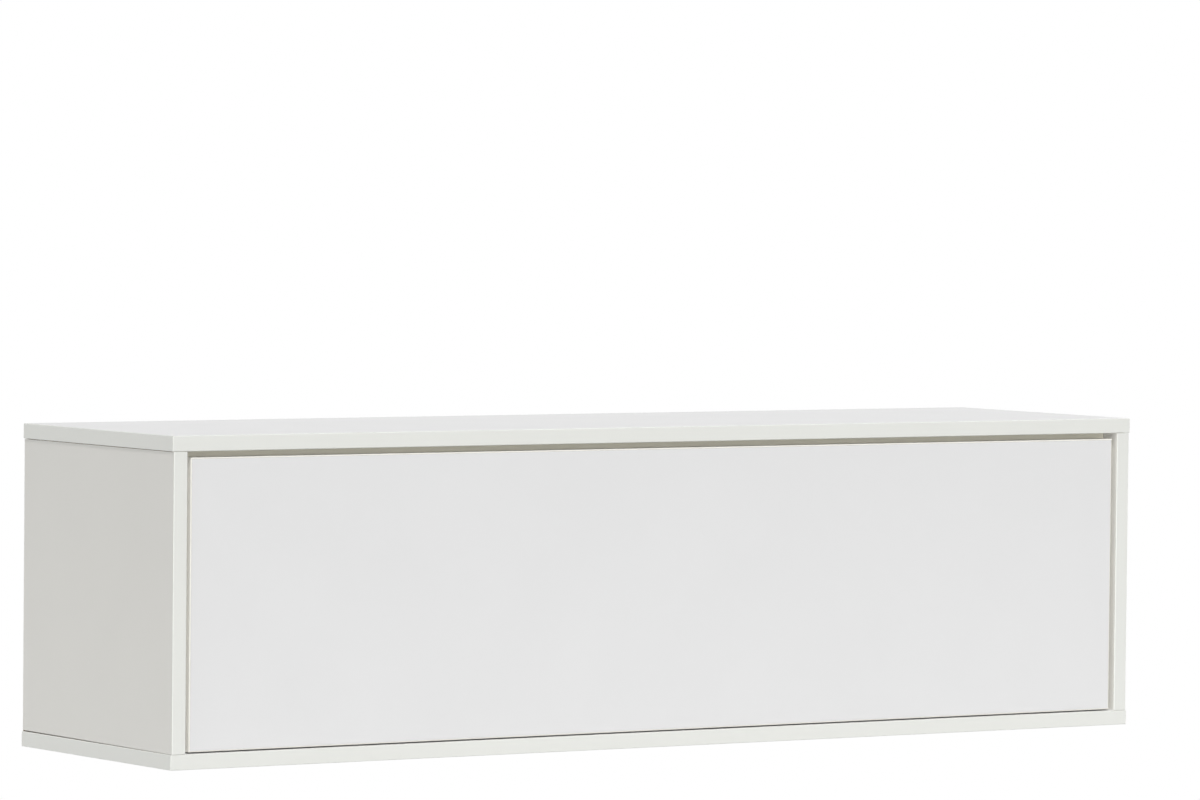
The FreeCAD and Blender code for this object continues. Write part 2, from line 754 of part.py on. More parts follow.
def brake_block(side, sign, outward):
    """The block that the rod slides through, with holes for the rod, the stud and the brake screw."""
    name = "brake_block_" + side
    body = doc.addObject("PartDesign::Body", name + "_body")
    sketch = sketch_on(body, "YZ_Plane", name + "_outline")
    half_length, half_height = "block_length / 2", "block_height / 2"
    corners = [(-1, -1), (1, -1), (1, 1), (-1, 1)]
    outline(sketch, [("%d * %s" % (y, half_length), "%d * %s" % (z, half_height)) for y, z in corners])
    feature = pad(body, sketch, "block_width")
    rounded(body, feature, "block_rounding", lambda edge, bounds: runs_along(edge, "x"))
    centre = ("0", "0", "0")
    outer_face = moved(centre, outward, "block_width / 2")
    inner_face = moved(centre, opposite(outward), "block_width / 2")
    stud_hole = "stud_radius + running_clearance"
    bore = "rod_radius + rod_clearance"
    tools = [
        centred_cylinder(name + "_bore", centre, "+y", bore, "2 * block_length"),
        cylinder(name + "_stud", outer_face, opposite(outward), stud_hole, "stud_depth + swivel_gap"),
        cylinder(
            name + "_thread", inner_face, outward, "brake_screw_radius + fit_clearance", "block_width / 2"
        ),
    ]
    lean(cut(name, body, tools), (sign + " * stay_x", "swivel_y", "swivel_z"))
    screw_name = "brake_screw_" + side
    shank_length = "block_width / 2 - rod_radius - 2 * rod_clearance"
    head_radius, head_height = "brake_screw_head_radius", "brake_screw_head_height"
    screw = [
        cylinder(screw_name + "_shank", inner_face, outward, "brake_screw_radius", shank_length),
        cylinder(screw_name + "_head", inner_face, opposite(outward), head_radius, head_height),
    ]
    head_top = moved(inner_face, opposite(outward), head_height)
    slot_size = ("2 * brake_slot_depth", "brake_slot_width", "2 * (brake_screw_head_radius + fit_clearance)")
    slot = box(screw_name + "_slot", head_top, slot_size)
    slotted = cut(screw_name, fuse(screw_name + "_blank", screw), [slot])
    lean(slotted, (sign + " * stay_x", "swivel_y", "swivel_z"))


def stay_rod(side, sign):
    """The rod from the flap's bracket, with an eye at its front end and a stop at its rear end."""
    name = "stay_rod_" + side
    origin = ("0", "0", "0")
    end_point = (sign + " * stay_x", "stay_pin_y", "stay_pin_z")
    eye = centred_cylinder(name + "_eye", origin, "+x", "rod_eye_radius", "rod_eye_width")
    shaft = cylinder(name + "_shaft", origin, "+y", "rod_radius", "rod_length")
    pin_hole_radius = "stay_pin_radius + running_clearance"
    hole = centred_cylinder(name + "_hole", origin, "+x", pin_hole_radius, "2 * rod_eye_width")
    lean(cut(name, fuse(name + "_body", [eye, shaft]), [hole]), end_point)
    stop_name = "rod_stop_" + side
    stop_at = ("0", "stop_start", "0")
    stop = cylinder(stop_name + "_body", stop_at, "+y", "stop_radius", "stop_length")
    bore = cylinder(stop_name + "_bore", origin, "+y", "rod_radius + press_clearance", "2 * rod_length")
    lean(cut(stop_name, stop, [bore]), end_point)


def stay_bracket(side, sign):
    """The bracket on the flap's back: a plate with two ears that hold the rod's pin."""
    name = "stay_bracket_" + side
    stay_x = sign + " * stay_x"
    pin = (stay_x, "stay_pin_y", "stay_pin_z")
    plate = box(
        name + "_plate",
        (stay_x, "flap_back_y + bracket_thickness / 2", "stay_pin_z"),
        ("bracket_width", "bracket_thickness", "bracket_height"),
    )
    pieces = [plate]
    for way in ("-x", "+x"):
        ear = moved(pin, way, "ear_x")
        web = moved(ear, "-y", "stay_standoff / 2")
        web_size = ("bracket_thickness", "stay_standoff", "2 * ear_radius")
        pieces.append(centred_cylinder(name + "_ear", ear, "+x", "ear_radius", "bracket_thickness"))
        pieces.append(box(name + "_web", web, web_size))
    pin_hole = "stay_pin_radius + press_clearance"
    holes = [centred_cylinder(name + "_pin_hole", pin, "+x", pin_hole, "2 * bracket_width")]
    spots = []
    for way in ("-z", "+z"):
        surface = (stay_x, "flap_back_y + bracket_thickness", "stay_pin_z")
        point = moved(surface, way, "bracket_screw_spacing / 2")
        spots.append(screw_in("flap_panel", point, "+y", "bracket_thickness"))
        holes.append(screw_hole(name + "_screw_hole", point, "+y", "bracket_thickness"))
    node(cut(name, fuse(name + "_body", pieces), holes))
    return spots, centred_cylinder("stay_pin", pin, "+x", "stay_pin_radius", "stay_pin_length")


def fit_stays(wood_screw):
    base_spots, bracket_spots, pins = [], [], []
    for side, (sign, outward) in SIDES.items():
        base_spots += stay_base(side, sign, outward)
        brake_block(side, sign, outward)
        stay_rod(side, sign)
        spots, pin = stay_bracket(side, sign)
        bracket_spots += spots
        pins.append(pin)
    node(group("stay_pins", pins))
    screws("stay_base_screws", wood_screw, base_spots)
    screws("stay_bracket_screws", wood_screw, bracket_spots)


# Push latches


def push_latch(side, sign):
    """A round latch let into the stop rail, with a sprung plunger that has a magnet in its tip."""
    latch_x = sign + " * latch_x"
    mouth = (latch_x, "rail_front_y", "latch_z")
    front = moved(mouth, "-y", "latch_flange")
    tip = (latch_x, "tip_y", "latch_z")
    name = "latch_housing_" + side
    barrel = cylinder(name + "_barrel", mouth, "+y", "latch_radius", "latch_length")
    flange = cylinder(name + "_flange", front, "+y", "latch_flange_radius", "latch_flange")
    bore_radius = "plunger_radius + plunger_clearance"
    bore = cylinder(name + "_bore", front, "+y", bore_radius, "latch_bore_length")
    node(cut(name, fuse(name + "_body", [barrel, flange]), [bore]))
    drill("stop_rail", mouth, "+y", "latch_radius + fit_clearance", "board")
    name = "latch_plunger_" + side
    stem = cylinder(name + "_stem", tip, "+y", "plunger_radius", "plunger_length")
    seat = cylinder(
        name + "_seat", tip, "+y", "magnet_radius + press_clearance", "magnet_length + press_clearance"
    )
    node(cut(name, stem, [seat]))
    node(cylinder("latch_magnet_" + side, tip, "+y", "magnet_radius", "magnet_length"))


def strike_plate(side, sign):
    name = "strike_plate_" + side
    latch_x = sign + " * latch_x"
    middle = (latch_x, "flap_back_y + strike_thickness / 2", "latch_z")
    plate = box(name + "_blank", middle, ("strike_width", "strike_thickness", "strike_height"))
    spots, holes = [], []
    for way in ("-z", "+z"):
        point = moved((latch_x, "strike_y", "latch_z"), way, "strike_screw_spacing / 2")
        spots.append(screw_in("flap_panel", point, "+y", "strike_thickness"))
        holes.append(screw_hole(name + "_hole", point, "+y", "strike_thickness"))
    return spots, cut(name, plate, holes)


def fit_latches(wood_screw):
    all_spots, plates = [], []
    for side, (sign, outward) in SIDES.items():
        push_latch(side, sign)
        spots, plate = strike_plate(side, sign)
        all_spots += spots
        plates.append(plate)
    node(group("strike_plates", plates))
    screws("strike_screws", wood_screw, all_spots)


# Boards


def cut_back_grooves():
    """Grooves for the back panel, along the inner faces of the four outer boards."""
    middle_y = "back_y - back_thickness / 2"
    wide = "back_thickness + 2 * groove_clearance"
    length = "2 * (inner_x + groove_depth)"
    for panel, joint_z in (("top_panel", "ceiling_z"), ("bottom_panel", "floor_z")):
        groove = box(panel + "_groove", ("0", middle_y, joint_z), (length, wide, "2 * groove_depth"))
        bores[panel].append(groove)
    for side, (sign, outward) in SIDES.items():
        centre = (sign + " * inner_x", middle_y, "0")
        groove = box(side + "_side_groove", centre, ("2 * groove_depth", wide, "inner_height"))
        bores[side + "_side"].append(groove)


def top_and_bottom():
    end_length = "cabinet_depth - edging"
    for name, middle_z in (("top", "half_height - board / 2"), ("bottom", "board / 2 - half_height")):
        core_y = "core_front_y / 2"
        drilled_board(name + "_panel", ("0", core_y, middle_z), ("2 * outer_x", "-core_front_y", "board"))
        front = edging_strip(
            name + "_front_edging",
            ("0", "front_y + edging / 2", middle_z),
            ("cabinet_width", "edging", "board"),
            "x",
            "-y",
            round_ends=True,
        )
        strips = [front]
        for side, (sign, outward) in SIDES.items():
            centre = (sign + " * (outer_x + edging / 2)", core_y, middle_z)
            size = ("edging", end_length, "board")
            strips.append(edging_strip(name + "_" + side + "_edging", centre, size, "y", outward))
        node(group(name + "_edging", strips))


def sides():
    for side, (sign, outward) in SIDES.items():
        mid_x = sign + " * side_mid_x"
        drilled_board(side + "_side", (mid_x, "core_front_y / 2", "0"), ("board", "-core_front_y", "inner_height"))
        centre = (mid_x, "front_y + edging / 2", "0")
        size = ("board", "edging", "inner_height")
        node(edging_strip(side + "_side_edging", centre, size, "z", "-y"))


def inner_boards():
    rail_length = "2 * inner_x"
    rail_z = "ceiling_z - stop_rail_height / 2"
    drilled_board("stop_rail", ("0", "rail_mid_y", rail_z), (rail_length, "board", "stop_rail_height"))
    divider_front = "rail_back_y + edging"
    divider_y = "(%s + back_front_y) / 2" % divider_front
    divider_depth = "back_front_y - (%s)" % divider_front
    drilled_board("centre_divider", ("0", divider_y, "0"), ("board", divider_depth, "inner_height"))
    divider_edge = ("0", "rail_back_y + edging / 2", "0")
    node(edging_strip("divider_edging", divider_edge, ("board", "edging", "inner_height"), "z", "-y"))
    back_width = "2 * (inner_x + groove_depth - groove_clearance)"
    back_height = "inner_height + 2 * (groove_depth - groove_clearance)"
    for rail in ("upper", "lower"):
        name = rail + "_hanging_rail"
        rail_z = rail + "_rail_z"
        for sign, outward in SIDES.values():
            hole_x = sign + " * wall_screw_x"
            drill(name, (hole_x, "0", rail_z), "-y", "wall_screw_hole_radius", "board")
            drill("back_panel", (hole_x, "back_y", rail_z), "-y", "wall_screw_hole_radius", "back_thickness")
        drilled_board(name, ("0", "-board / 2", rail_z), (rail_length, "board", "hanging_rail_height"))
    back_middle = ("0", "back_y - back_thickness / 2", "0")
    drilled_board("back_panel", back_middle, (back_width, "back_thickness", back_height))


def flap():
    half_width = "(flap_half_width - edging)"
    core_height = "flap_height - 2 * edging"
    middle = ("0", "flap_mid_y", "flap_mid_z")
    drilled_board("flap_panel", middle, ("2 * " + half_width, "flap_thickness", core_height))
    strips = []
    for name, way in (("flap_bottom_edging", "-z"), ("flap_top_edging", "+z")):
        centre = moved(middle, way, "(flap_height - edging) / 2")
        size = ("2 * flap_half_width", "flap_thickness", "edging")
        strips.append(edging_strip(name, centre, size, "x", way))
    for side, (sign, outward) in SIDES.items():
        centre = moved(middle, outward, "flap_half_width - edging / 2")
        size = ("edging", "flap_thickness", core_height)
        strips.append(edging_strip("flap_" + side + "_edging", centre, size, "z", outward))
    node(group("flap_edging", strips))


def export_nodes():
    doc.recompute()
    broken = [thing.Label for thing in doc.Objects if {"Invalid", "Error"} & set(thing.State)]
    if broken:
        raise RuntimeError("these objects did not build: %s" % ", ".join(broken))
    os.makedirs("parts", exist_ok=True)
    bounds = FreeCAD.BoundBox()
    for thing in nodes:
        shape = thing.Shape
        if shape.isNull() or not shape.isValid() or not shape.Solids:
            raise RuntimeError("this node has no valid solid: %s" % thing.Label)
        shape.exportStep("parts/%s.step" % thing.Label)
        bounds.add(shape.BoundBox)
    print("%d nodes" % len(nodes), bounds)


make_sheet()
join_boards()
wood_screw_form = screw_form(
    "wood_screw_form", "screw_head_radius", "screw_head_height", "screw_radius", "screw_length"
)
hang_flap(wood_screw_form)
fit_stays(wood_screw_form)
fit_latches(wood_screw_form)
cut_back_grooves()
top_and_bottom()
sides()
inner_boards()
flap()
export_nodes()
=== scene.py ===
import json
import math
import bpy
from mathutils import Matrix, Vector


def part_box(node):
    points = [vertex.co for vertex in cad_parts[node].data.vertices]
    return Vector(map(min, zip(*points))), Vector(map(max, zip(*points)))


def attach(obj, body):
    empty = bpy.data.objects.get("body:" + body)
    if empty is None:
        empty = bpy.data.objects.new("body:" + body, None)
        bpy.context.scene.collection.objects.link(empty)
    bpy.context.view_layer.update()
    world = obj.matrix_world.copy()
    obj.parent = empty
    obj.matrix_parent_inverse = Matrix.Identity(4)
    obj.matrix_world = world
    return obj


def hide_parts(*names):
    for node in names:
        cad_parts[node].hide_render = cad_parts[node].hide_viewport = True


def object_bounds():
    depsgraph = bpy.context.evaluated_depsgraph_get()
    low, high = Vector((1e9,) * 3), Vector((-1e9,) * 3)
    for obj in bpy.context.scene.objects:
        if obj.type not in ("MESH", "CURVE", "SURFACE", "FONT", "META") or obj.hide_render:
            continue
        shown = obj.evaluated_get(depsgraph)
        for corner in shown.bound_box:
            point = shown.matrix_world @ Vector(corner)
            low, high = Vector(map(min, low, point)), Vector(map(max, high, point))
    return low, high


bl_info = {
    "name": "Wall cabinet",
    "version": (1, 0, 0),
    "blender": (4, 5, 0),
    "location": "3D View > Sidebar > Wall cabinet",
    "description": "Dresses the packed wall cabinet with its finishes, fasteners and studio",
    "category": "Object",
}

import bmesh
import bpy
from bpy.props import FloatProperty, FloatVectorProperty, IntProperty, PointerProperty
from mathutils import Matrix, Vector

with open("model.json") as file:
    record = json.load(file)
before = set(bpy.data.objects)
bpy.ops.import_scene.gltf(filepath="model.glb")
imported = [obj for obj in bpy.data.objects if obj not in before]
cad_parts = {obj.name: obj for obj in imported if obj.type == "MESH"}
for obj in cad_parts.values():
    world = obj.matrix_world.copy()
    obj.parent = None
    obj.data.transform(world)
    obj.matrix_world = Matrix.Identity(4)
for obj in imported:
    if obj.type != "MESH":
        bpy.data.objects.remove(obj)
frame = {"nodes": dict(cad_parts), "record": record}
CAD_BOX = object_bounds()

NODES = frame["nodes"]
BODY_OF = {
    node: body for body, members in frame["record"]["behaviour"]["bodies"].items() for node in members
}
AXES = {"X": 0, "Y": 1, "Z": 2}
MM = 0.001

# points this close are merged, and levels this close count as one
MERGE = 0.002 * MM
NEAR = 0.05 * MM
# the share of a normal along an axis from which its face counts as facing that way
FACING = 0.9
# edges that turn by more than this stay sharp
CREASE = math.radians(35)


def linear(code):
    """The linear colour of an sRGB hex value."""
    shares = [int(code[start : start + 2], 16) / 255 for start in (0, 2, 4)]
    return tuple(
        share / 12.92 if share <= 0.04045 else ((share + 0.055) / 1.055) ** 2.4 for share in shares
    )


# Settings


class CabinetFinish(bpy.types.PropertyGroup):
    """Colours of the cabinet's finishes. The warmer whites of the side panels and the stop rail are painted
    shade, and the clearer white of the flap's edging is painted light.
    """

    melamine: FloatVectorProperty(
        name="Melamine",
        description="Coated faces of the boards",
        subtype="COLOR",
        min=0,
        max=1,
        default=linear("EBEBEB"),
    )
    # painted shade: the side panels' warmer white stands in for the warm shade on the cabinet's left end
    # and in the gaps beside the flap
    side: FloatVectorProperty(
        name="Side panels",
        description="Coated faces of the side panels, a slightly warmer white",
        subtype="COLOR",
        min=0,
        max=1,
        default=linear("EBEAE5"),
    )
    # painted shade: the stop rail's cream white stands in for the warm shade in the gap above the flap,
    # where the rail is seen
    rail: FloatVectorProperty(
        name="Stop rail",
        description="Coated faces of the stop rail, a warmer white",
        subtype="COLOR",
        min=0,
        max=1,
        default=linear("F0ECDC"),
    )
    edging: FloatVectorProperty(
        name="Edging",
        description="Plastic edging of the boards",
        subtype="COLOR",
        min=0,
        max=1,
        default=linear("ECEDE8"),
    )
    # painted light: the flap edging's clearer, brighter white stands in for light on the flap's edges in
    # the gaps and the highlight along its top arris
    flap_edging: FloatVectorProperty(
        name="Flap edging",
        description="Plastic edging of the flap, a clearer white",
        subtype="COLOR",
        min=0,
        max=1,
        default=linear("FAF8F1"),
    )
    hardboard: FloatVectorProperty(
        name="Hardboard",
        description="Bare rear face and edges of the back panel",
        subtype="COLOR",
        min=0,
        max=1,
        default=linear("94744E"),
    )
    chipboard: FloatVectorProperty(
        name="Chipboard",
        description="Bare cut edges and bores of the boards",
        subtype="COLOR",
        min=0,
        max=1,
        default=linear("BFA27A"),
    )
    beech: FloatVectorProperty(
        name="Beech",
        description="Wooden dowels",
        subtype="COLOR",
        min=0,
        max=1,
        default=linear("C9A06C"),
    )
    plated_steel: FloatVectorProperty(
        name="Plated steel",
        description="Hinges, brackets, rods and screws",
        subtype="COLOR",
        min=0,
        max=1,
        default=linear("C8C7C3"),
    )
    zinc: FloatVectorProperty(
        name="Die-cast zinc",
        description="Cam locks and hinge cups",
        subtype="COLOR",
        min=0,
        max=1,
        default=linear("B4B5B5"),
    )
    nylon: FloatVectorProperty(
        name="Grey nylon",
        description="Brake blocks and push latches",
        subtype="COLOR",
        min=0,
        max=1,
        default=linear("A9ACAD"),
    )


class CabinetJoints(bpy.types.PropertyGroup):
    """How far the joints between the boards stand open, which shows as fine dark lines."""

    glue_line: FloatProperty(
        name="Glue line",
        description="Width of the line between a board and its edging",
        subtype="DISTANCE",
        unit="LENGTH",
        default=0.12 * MM,
    )
    edging_butt: FloatProperty(
        name="Edging joint",
        description="Width of the joint at the ends of a side panel's edging",
        subtype="DISTANCE",
        unit="LENGTH",
        default=0.25 * MM,
    )
    rail_butt: FloatProperty(
        name="Rail joint",
        description="Width of the joint between the stop rail and a side panel",
        subtype="DISTANCE",
        unit="LENGTH",
        default=0.6 * MM,
    )
    upper_butt: FloatProperty(
        name="Upper joint",
        description="Width of the joint between a side panel and the top panel",
        subtype="DISTANCE",
        unit="LENGTH",
        default=0.5 * MM,
    )
    lower_butt_front: FloatProperty(
        name="Lower joint, front",
        description="Width, at the front, of the joint between a side panel and the bottom panel",
        subtype="DISTANCE",
        unit="LENGTH",
        default=0.3 * MM,
    )
    lower_butt_rear: FloatProperty(
        name="Lower joint, rear",
        description="Width, at the rear, of the joint between a side panel and the bottom panel",
        subtype="DISTANCE",
        unit="LENGTH",
        default=1.2 * MM,
    )


class CabinetFasteners(bpy.types.PropertyGroup):
    """Sizes of the screws and caps."""

    screw_head_radius: FloatProperty(
        name="Screw head radius",
        description="Radius of a wood screw's head",
        subtype="DISTANCE",
        unit="LENGTH",
        default=3.4 * MM,
    )
    screw_head_height: FloatProperty(
        name="Screw head height",
        description="Height of a wood screw's head",
        subtype="DISTANCE",
        unit="LENGTH",
        default=1.8 * MM,
    )
    screw_radius: FloatProperty(
        name="Screw radius",
        description="Radius of a wood screw's shank",
        subtype="DISTANCE",
        unit="LENGTH",
        default=1.7 * MM,
    )
    screw_length: FloatProperty(
        name="Screw length",
        description="Length of a wood screw under its head",
        subtype="DISTANCE",
        unit="LENGTH",
        default=12.0 * MM,
    )
    arm_screw_head_radius: FloatProperty(
        name="Arm screw head radius",
        description="Radius of the head of a hinge arm's screw",
        subtype="DISTANCE",
        unit="LENGTH",
        default=4.5 * MM,
    )
    arm_screw_head_height: FloatProperty(
        name="Arm screw head height",
        description="Height of the head of a hinge arm's screw",
        subtype="DISTANCE",
        unit="LENGTH",
        default=2.5 * MM,
    )
    arm_screw_radius: FloatProperty(
        name="Arm screw radius",
        description="Radius of the shank of a hinge arm's screw",
        subtype="DISTANCE",
        unit="LENGTH",
        default=2.9 * MM,
    )
    arm_screw_length: FloatProperty(
        name="Arm screw length",
        description="Length of a hinge arm's screw under its head",
        subtype="DISTANCE",
        unit="LENGTH",
        default=6.5 * MM,
    )
    cap_radius: FloatProperty(
        name="Cap radius",
        description="Radius of a cap over a cam lock",
        subtype="DISTANCE",
        unit="LENGTH",
        default=8.6 * MM,
    )
    cap_height: FloatProperty(
        name="Cap height",
        description="Height of a cap over a cam lock",
        subtype="DISTANCE",
        unit="LENGTH",
        default=1.0 * MM,
    )
    turn_seed: IntProperty(
        name="Turn seed",
        description="Seed of the turn of each screw's recess",
        default=7,
    )


class CabinetStudio(bpy.types.PropertyGroup):
    """Floor and light."""

    floor_drop: FloatProperty(
        name="Floor drop",
        description="Height of the cabinet above the floor",
        subtype="DISTANCE",
        unit="LENGTH",
        default=0.45,
    )
    floor_radius: FloatProperty(
        name="Floor radius",
        description="Radius of the floor, which fades into the background towards its rim",
        subtype="DISTANCE",
        unit="LENGTH",
        default=3.0,
    )
    sky: FloatProperty(
        name="Sky",
        description="Strength of the even light from all sides",
        default=0.1,
    )
    front: FloatProperty(
        name="Front",
        description="Strength of the three lamps in front, on the left",
        default=2.27,
    )
    left: FloatProperty(
        name="Left",
        description="Strength of the lamp at the left end",
        default=0.45,
    )
    overhead: FloatProperty(
        name="Overhead",
        description="Strength of the wide lamp overhead",
        default=0.1,
    )
    rear: FloatProperty(
        name="Rear",
        description="Strength of the wide lamp behind, on the right",
        default=1.2,
    )
    low_rear: FloatProperty(
        name="Low rear",
        description="Strength of the lamp straight behind, too low to light the top",
        default=1.4,
    )


# Node trees


def fill(tree, node, inputs):
    """Set each input of a node to a value, or link it to a socket or to each socket in a list."""
    for key, value in inputs.items():
        for item in value if isinstance(value, list) else [value]:
            if isinstance(item, bpy.types.NodeSocket):
                tree.links.new(item, node.inputs[key])
            else:
                node.inputs[key].default_value = item


def add(tree, kind, inputs=None, **settings):
    """Add one node with its settings and its inputs."""
    node = tree.nodes.new(kind)
    for name, value in settings.items():
        setattr(node, name, value)
    fill(tree, node, inputs or {})
    return node


def reckon(tree, operation, *values):
    """A socket with the result of one sum on values or sockets."""
    return add(tree, "ShaderNodeMath", dict(enumerate(values)), operation=operation).outputs[0]


def map_range(tree, value, start=0.0, end=1.0, low=0.0, high=1.0):
    """A socket with a value whose range from start to end is drawn to the range from low to high."""
    inputs = {"Value": value, "From Min": start, "From Max": end, "To Min": low, "To Max": high}
    return add(tree, "ShaderNodeMapRange", inputs).outputs["Result"]


def per_metre(size_mm):
    """The texture scale that draws features of a size in millimetres."""
    return 1.0 / (size_mm * MM)


def noise(tree, place, size_mm, detail, roughness=0.5, distortion=0.0):
    """A socket with noise that has features of a size in millimetres."""
    inputs = {
        "Vector": place,
        "Scale": per_metre(size_mm),
        "Detail": detail,
        "Roughness": roughness,
        "Distortion": distortion,
    }
    return add(tree, "ShaderNodeTexNoise", inputs).outputs["Fac"]


def blend(tree, share, first, second):
    """A socket with a colour between two others, each a colour or a socket."""
    inputs = {"Factor": share, "A": first, "B": second}
    return add(tree, "ShaderNodeMix", inputs, data_type="RGBA").outputs["Result"]


def relief(tree, height, strength, depth_mm):
    """A socket with the normal of a fine relief."""
    inputs = {"Height": height, "Strength": strength, "Distance": depth_mm * MM}
    return add(tree, "ShaderNodeBump", inputs).outputs["Normal"]


def seen_directly(tree):
    """A socket that is 1 for what the camera sees, also in metal and through glass."""
    path = add(tree, "ShaderNodeLightPath").outputs
    mirrored = reckon(tree, "MAXIMUM", path["Is Camera Ray"], path["Is Glossy Ray"])
    return reckon(tree, "MAXIMUM", mirrored, path["Is Transmission Ray"])


# Materials


def new_material(name):
    """Start a material of that name: its tree, its shader and the piece's own coordinates."""
    material = bpy.data.materials.new(name)
    material.use_nodes = True
    tree = material.node_tree
    tree.nodes.clear()
    shader = add(tree, "ShaderNodeBsdfPrincipled")
    add(tree, "ShaderNodeOutputMaterial", {"Surface": shader.outputs["BSDF"]})
    place = add(tree, "ShaderNodeTexCoord").outputs["Object"]
    return tree, shader, place


def shade(colour, share):
    """A colour made lighter or darker by a share, with the alpha that colour sockets have."""
    return tuple(min(1.0, channel * share) for channel in colour) + (1.0,)


def melamine_board(name, colour):
    """White coating, pressed on by a finely pearled plate: even, satin, with a soft broad gloss.

    The real pearl is about half a millimetre wide, and is drawn coarser so that it shows.
    """
    tree, shader, place = new_material(name)
    cloud = noise(tree, place, size_mm=90, detail=2.0)
    pearl = noise(tree, place, size_mm=1.6, detail=2.0, roughness=0.6)
    looks = {
        "Base Color": blend(tree, cloud, shade(colour, 0.985), shade(colour, 1.015)),
        "Roughness": map_range(tree, pearl, low=0.58, high=0.7),
        "Normal": relief(tree, pearl, strength=0.2, depth_mm=0.03),
        "Specular IOR Level": 0.3,
    }
    fill(tree, shader, looks)


def plastic_edging(name, colour):
    """ABS edging, glued on and scraped: a little smoother than the board, with faint marks."""
    tree, shader, place = new_material(name)
    cloud = noise(tree, place, size_mm=70, detail=2.0)
    marks = noise(tree, place, size_mm=2.2, detail=3.0)
    looks = {
        "Base Color": blend(tree, cloud, shade(colour, 0.985), shade(colour, 1.015)),
        "Roughness": map_range(tree, marks, low=0.42, high=0.56),
        "Normal": relief(tree, marks, strength=0.15, depth_mm=0.03),
    }
    fill(tree, shader, looks)


def raw_chipboard(name, colour):
    """Bare cut chipboard: pressed flakes of a few millimetres, pale and dark, with rough pores."""
    bend_mm, flake_mm = 3, 1.9
    tree, shader, place = new_material(name)
    bend = add(tree, "ShaderNodeTexNoise", {"Vector": place, "Scale": per_metre(bend_mm), "Detail": 2.0})
    pushed = add(
        tree,
        "ShaderNodeVectorMath",
        {0: bend.outputs["Color"], 1: (MM, MM, MM), 2: place},
        operation="MULTIPLY_ADD",
    )
    flaked = {"Vector": pushed.outputs["Vector"], "Scale": per_metre(flake_mm)}
    flakes = add(tree, "ShaderNodeTexVoronoi", flaked).outputs
    pick = add(tree, "ShaderNodeSeparateColor", {"Color": flakes["Color"]}).outputs["Red"]
    tone = blend(tree, pick, shade(colour, 0.62), shade(colour, 1.28))
    pores = map_range(tree, flakes["Distance"], start=0.35, end=0.8, low=1.0, high=0.0)
    looks = {
        "Base Color": blend(tree, pores, shade(colour, 0.4), tone),
        "Roughness": 0.9,
        "Normal": relief(tree, pores, strength=0.5, depth_mm=0.25),
    }
    fill(tree, shader, looks)


def bare_hardboard(name, colour):
    """Bare hardboard: matted wood fibres, pressed smooth, brown with paler and darker hairs."""
    tree, shader, place = new_material(name)
    lying = add(tree, "ShaderNodeMapping", {"Vector": place, "Scale": (0.3, 1.0, 1.0)})
    fibres = noise(tree, lying.outputs["Vector"], size_mm=1.5, detail=5.0, distortion=1.2)
    cloud = noise(tree, place, size_mm=60, detail=3.0)
    mottled = blend(tree, cloud, shade(colour, 0.82), shade(colour, 1.14))
    hairs = map_range(tree, fibres, start=0.38, end=0.66)
    looks = {
        "Base Color": blend(tree, hairs, shade(colour, 0.6), mottled),
        "Roughness": 0.72,
        "Normal": relief(tree, fibres, strength=0.35, depth_mm=0.1),
    }
    fill(tree, shader, looks)


def turned_beech(name, colour):
    """Beech dowel rod: pale wood with the short dark flecks of beech."""
    tree, shader, place = new_material(name)
    flecks = noise(tree, place, size_mm=1.2, detail=4.0)
    tone = blend(tree, flecks, shade(colour, 0.7), shade(colour, 1.2))
    fill(tree, shader, {"Base Color": tone, "Roughness": 0.6})


def metal(name, colour, rough, grain_mm, stretch=(1.0, 1.0, 1.0)):
    """A plated or cast metal whose grain, which can be drawn out along an axis, varies gloss and tone."""
    tree, shader, place = new_material(name)
    drawn = add(tree, "ShaderNodeMapping", {"Vector": place, "Scale": stretch})
    grain = noise(tree, drawn.outputs["Vector"], grain_mm, detail=4.0, roughness=0.6)
    looks = {
        "Base Color": blend(tree, grain, shade(colour, 0.88), shade(colour, 1.08)),
        "Metallic": 1.0,
        "Roughness": map_range(tree, grain, low=rough - 0.09, high=rough + 0.09),
        "Normal": relief(tree, grain, strength=0.12, depth_mm=0.03),
    }
    fill(tree, shader, looks)


def moulded_plastic(name, colour, rough):
    """Moulded nylon or polyethylene, from a spark-eroded mould: matt, with a fine even grain."""
    tree, shader, place = new_material(name)
    grain = noise(tree, place, size_mm=0.5, detail=2.0)
    looks = {
        "Base Color": blend(tree, grain, shade(colour, 0.94), shade(colour, 1.05)),
        "Roughness": map_range(tree, grain, low=rough - 0.06, high=rough + 0.06),
        "Normal": relief(tree, grain, strength=0.25, depth_mm=0.05),
    }
    fill(tree, shader, looks)


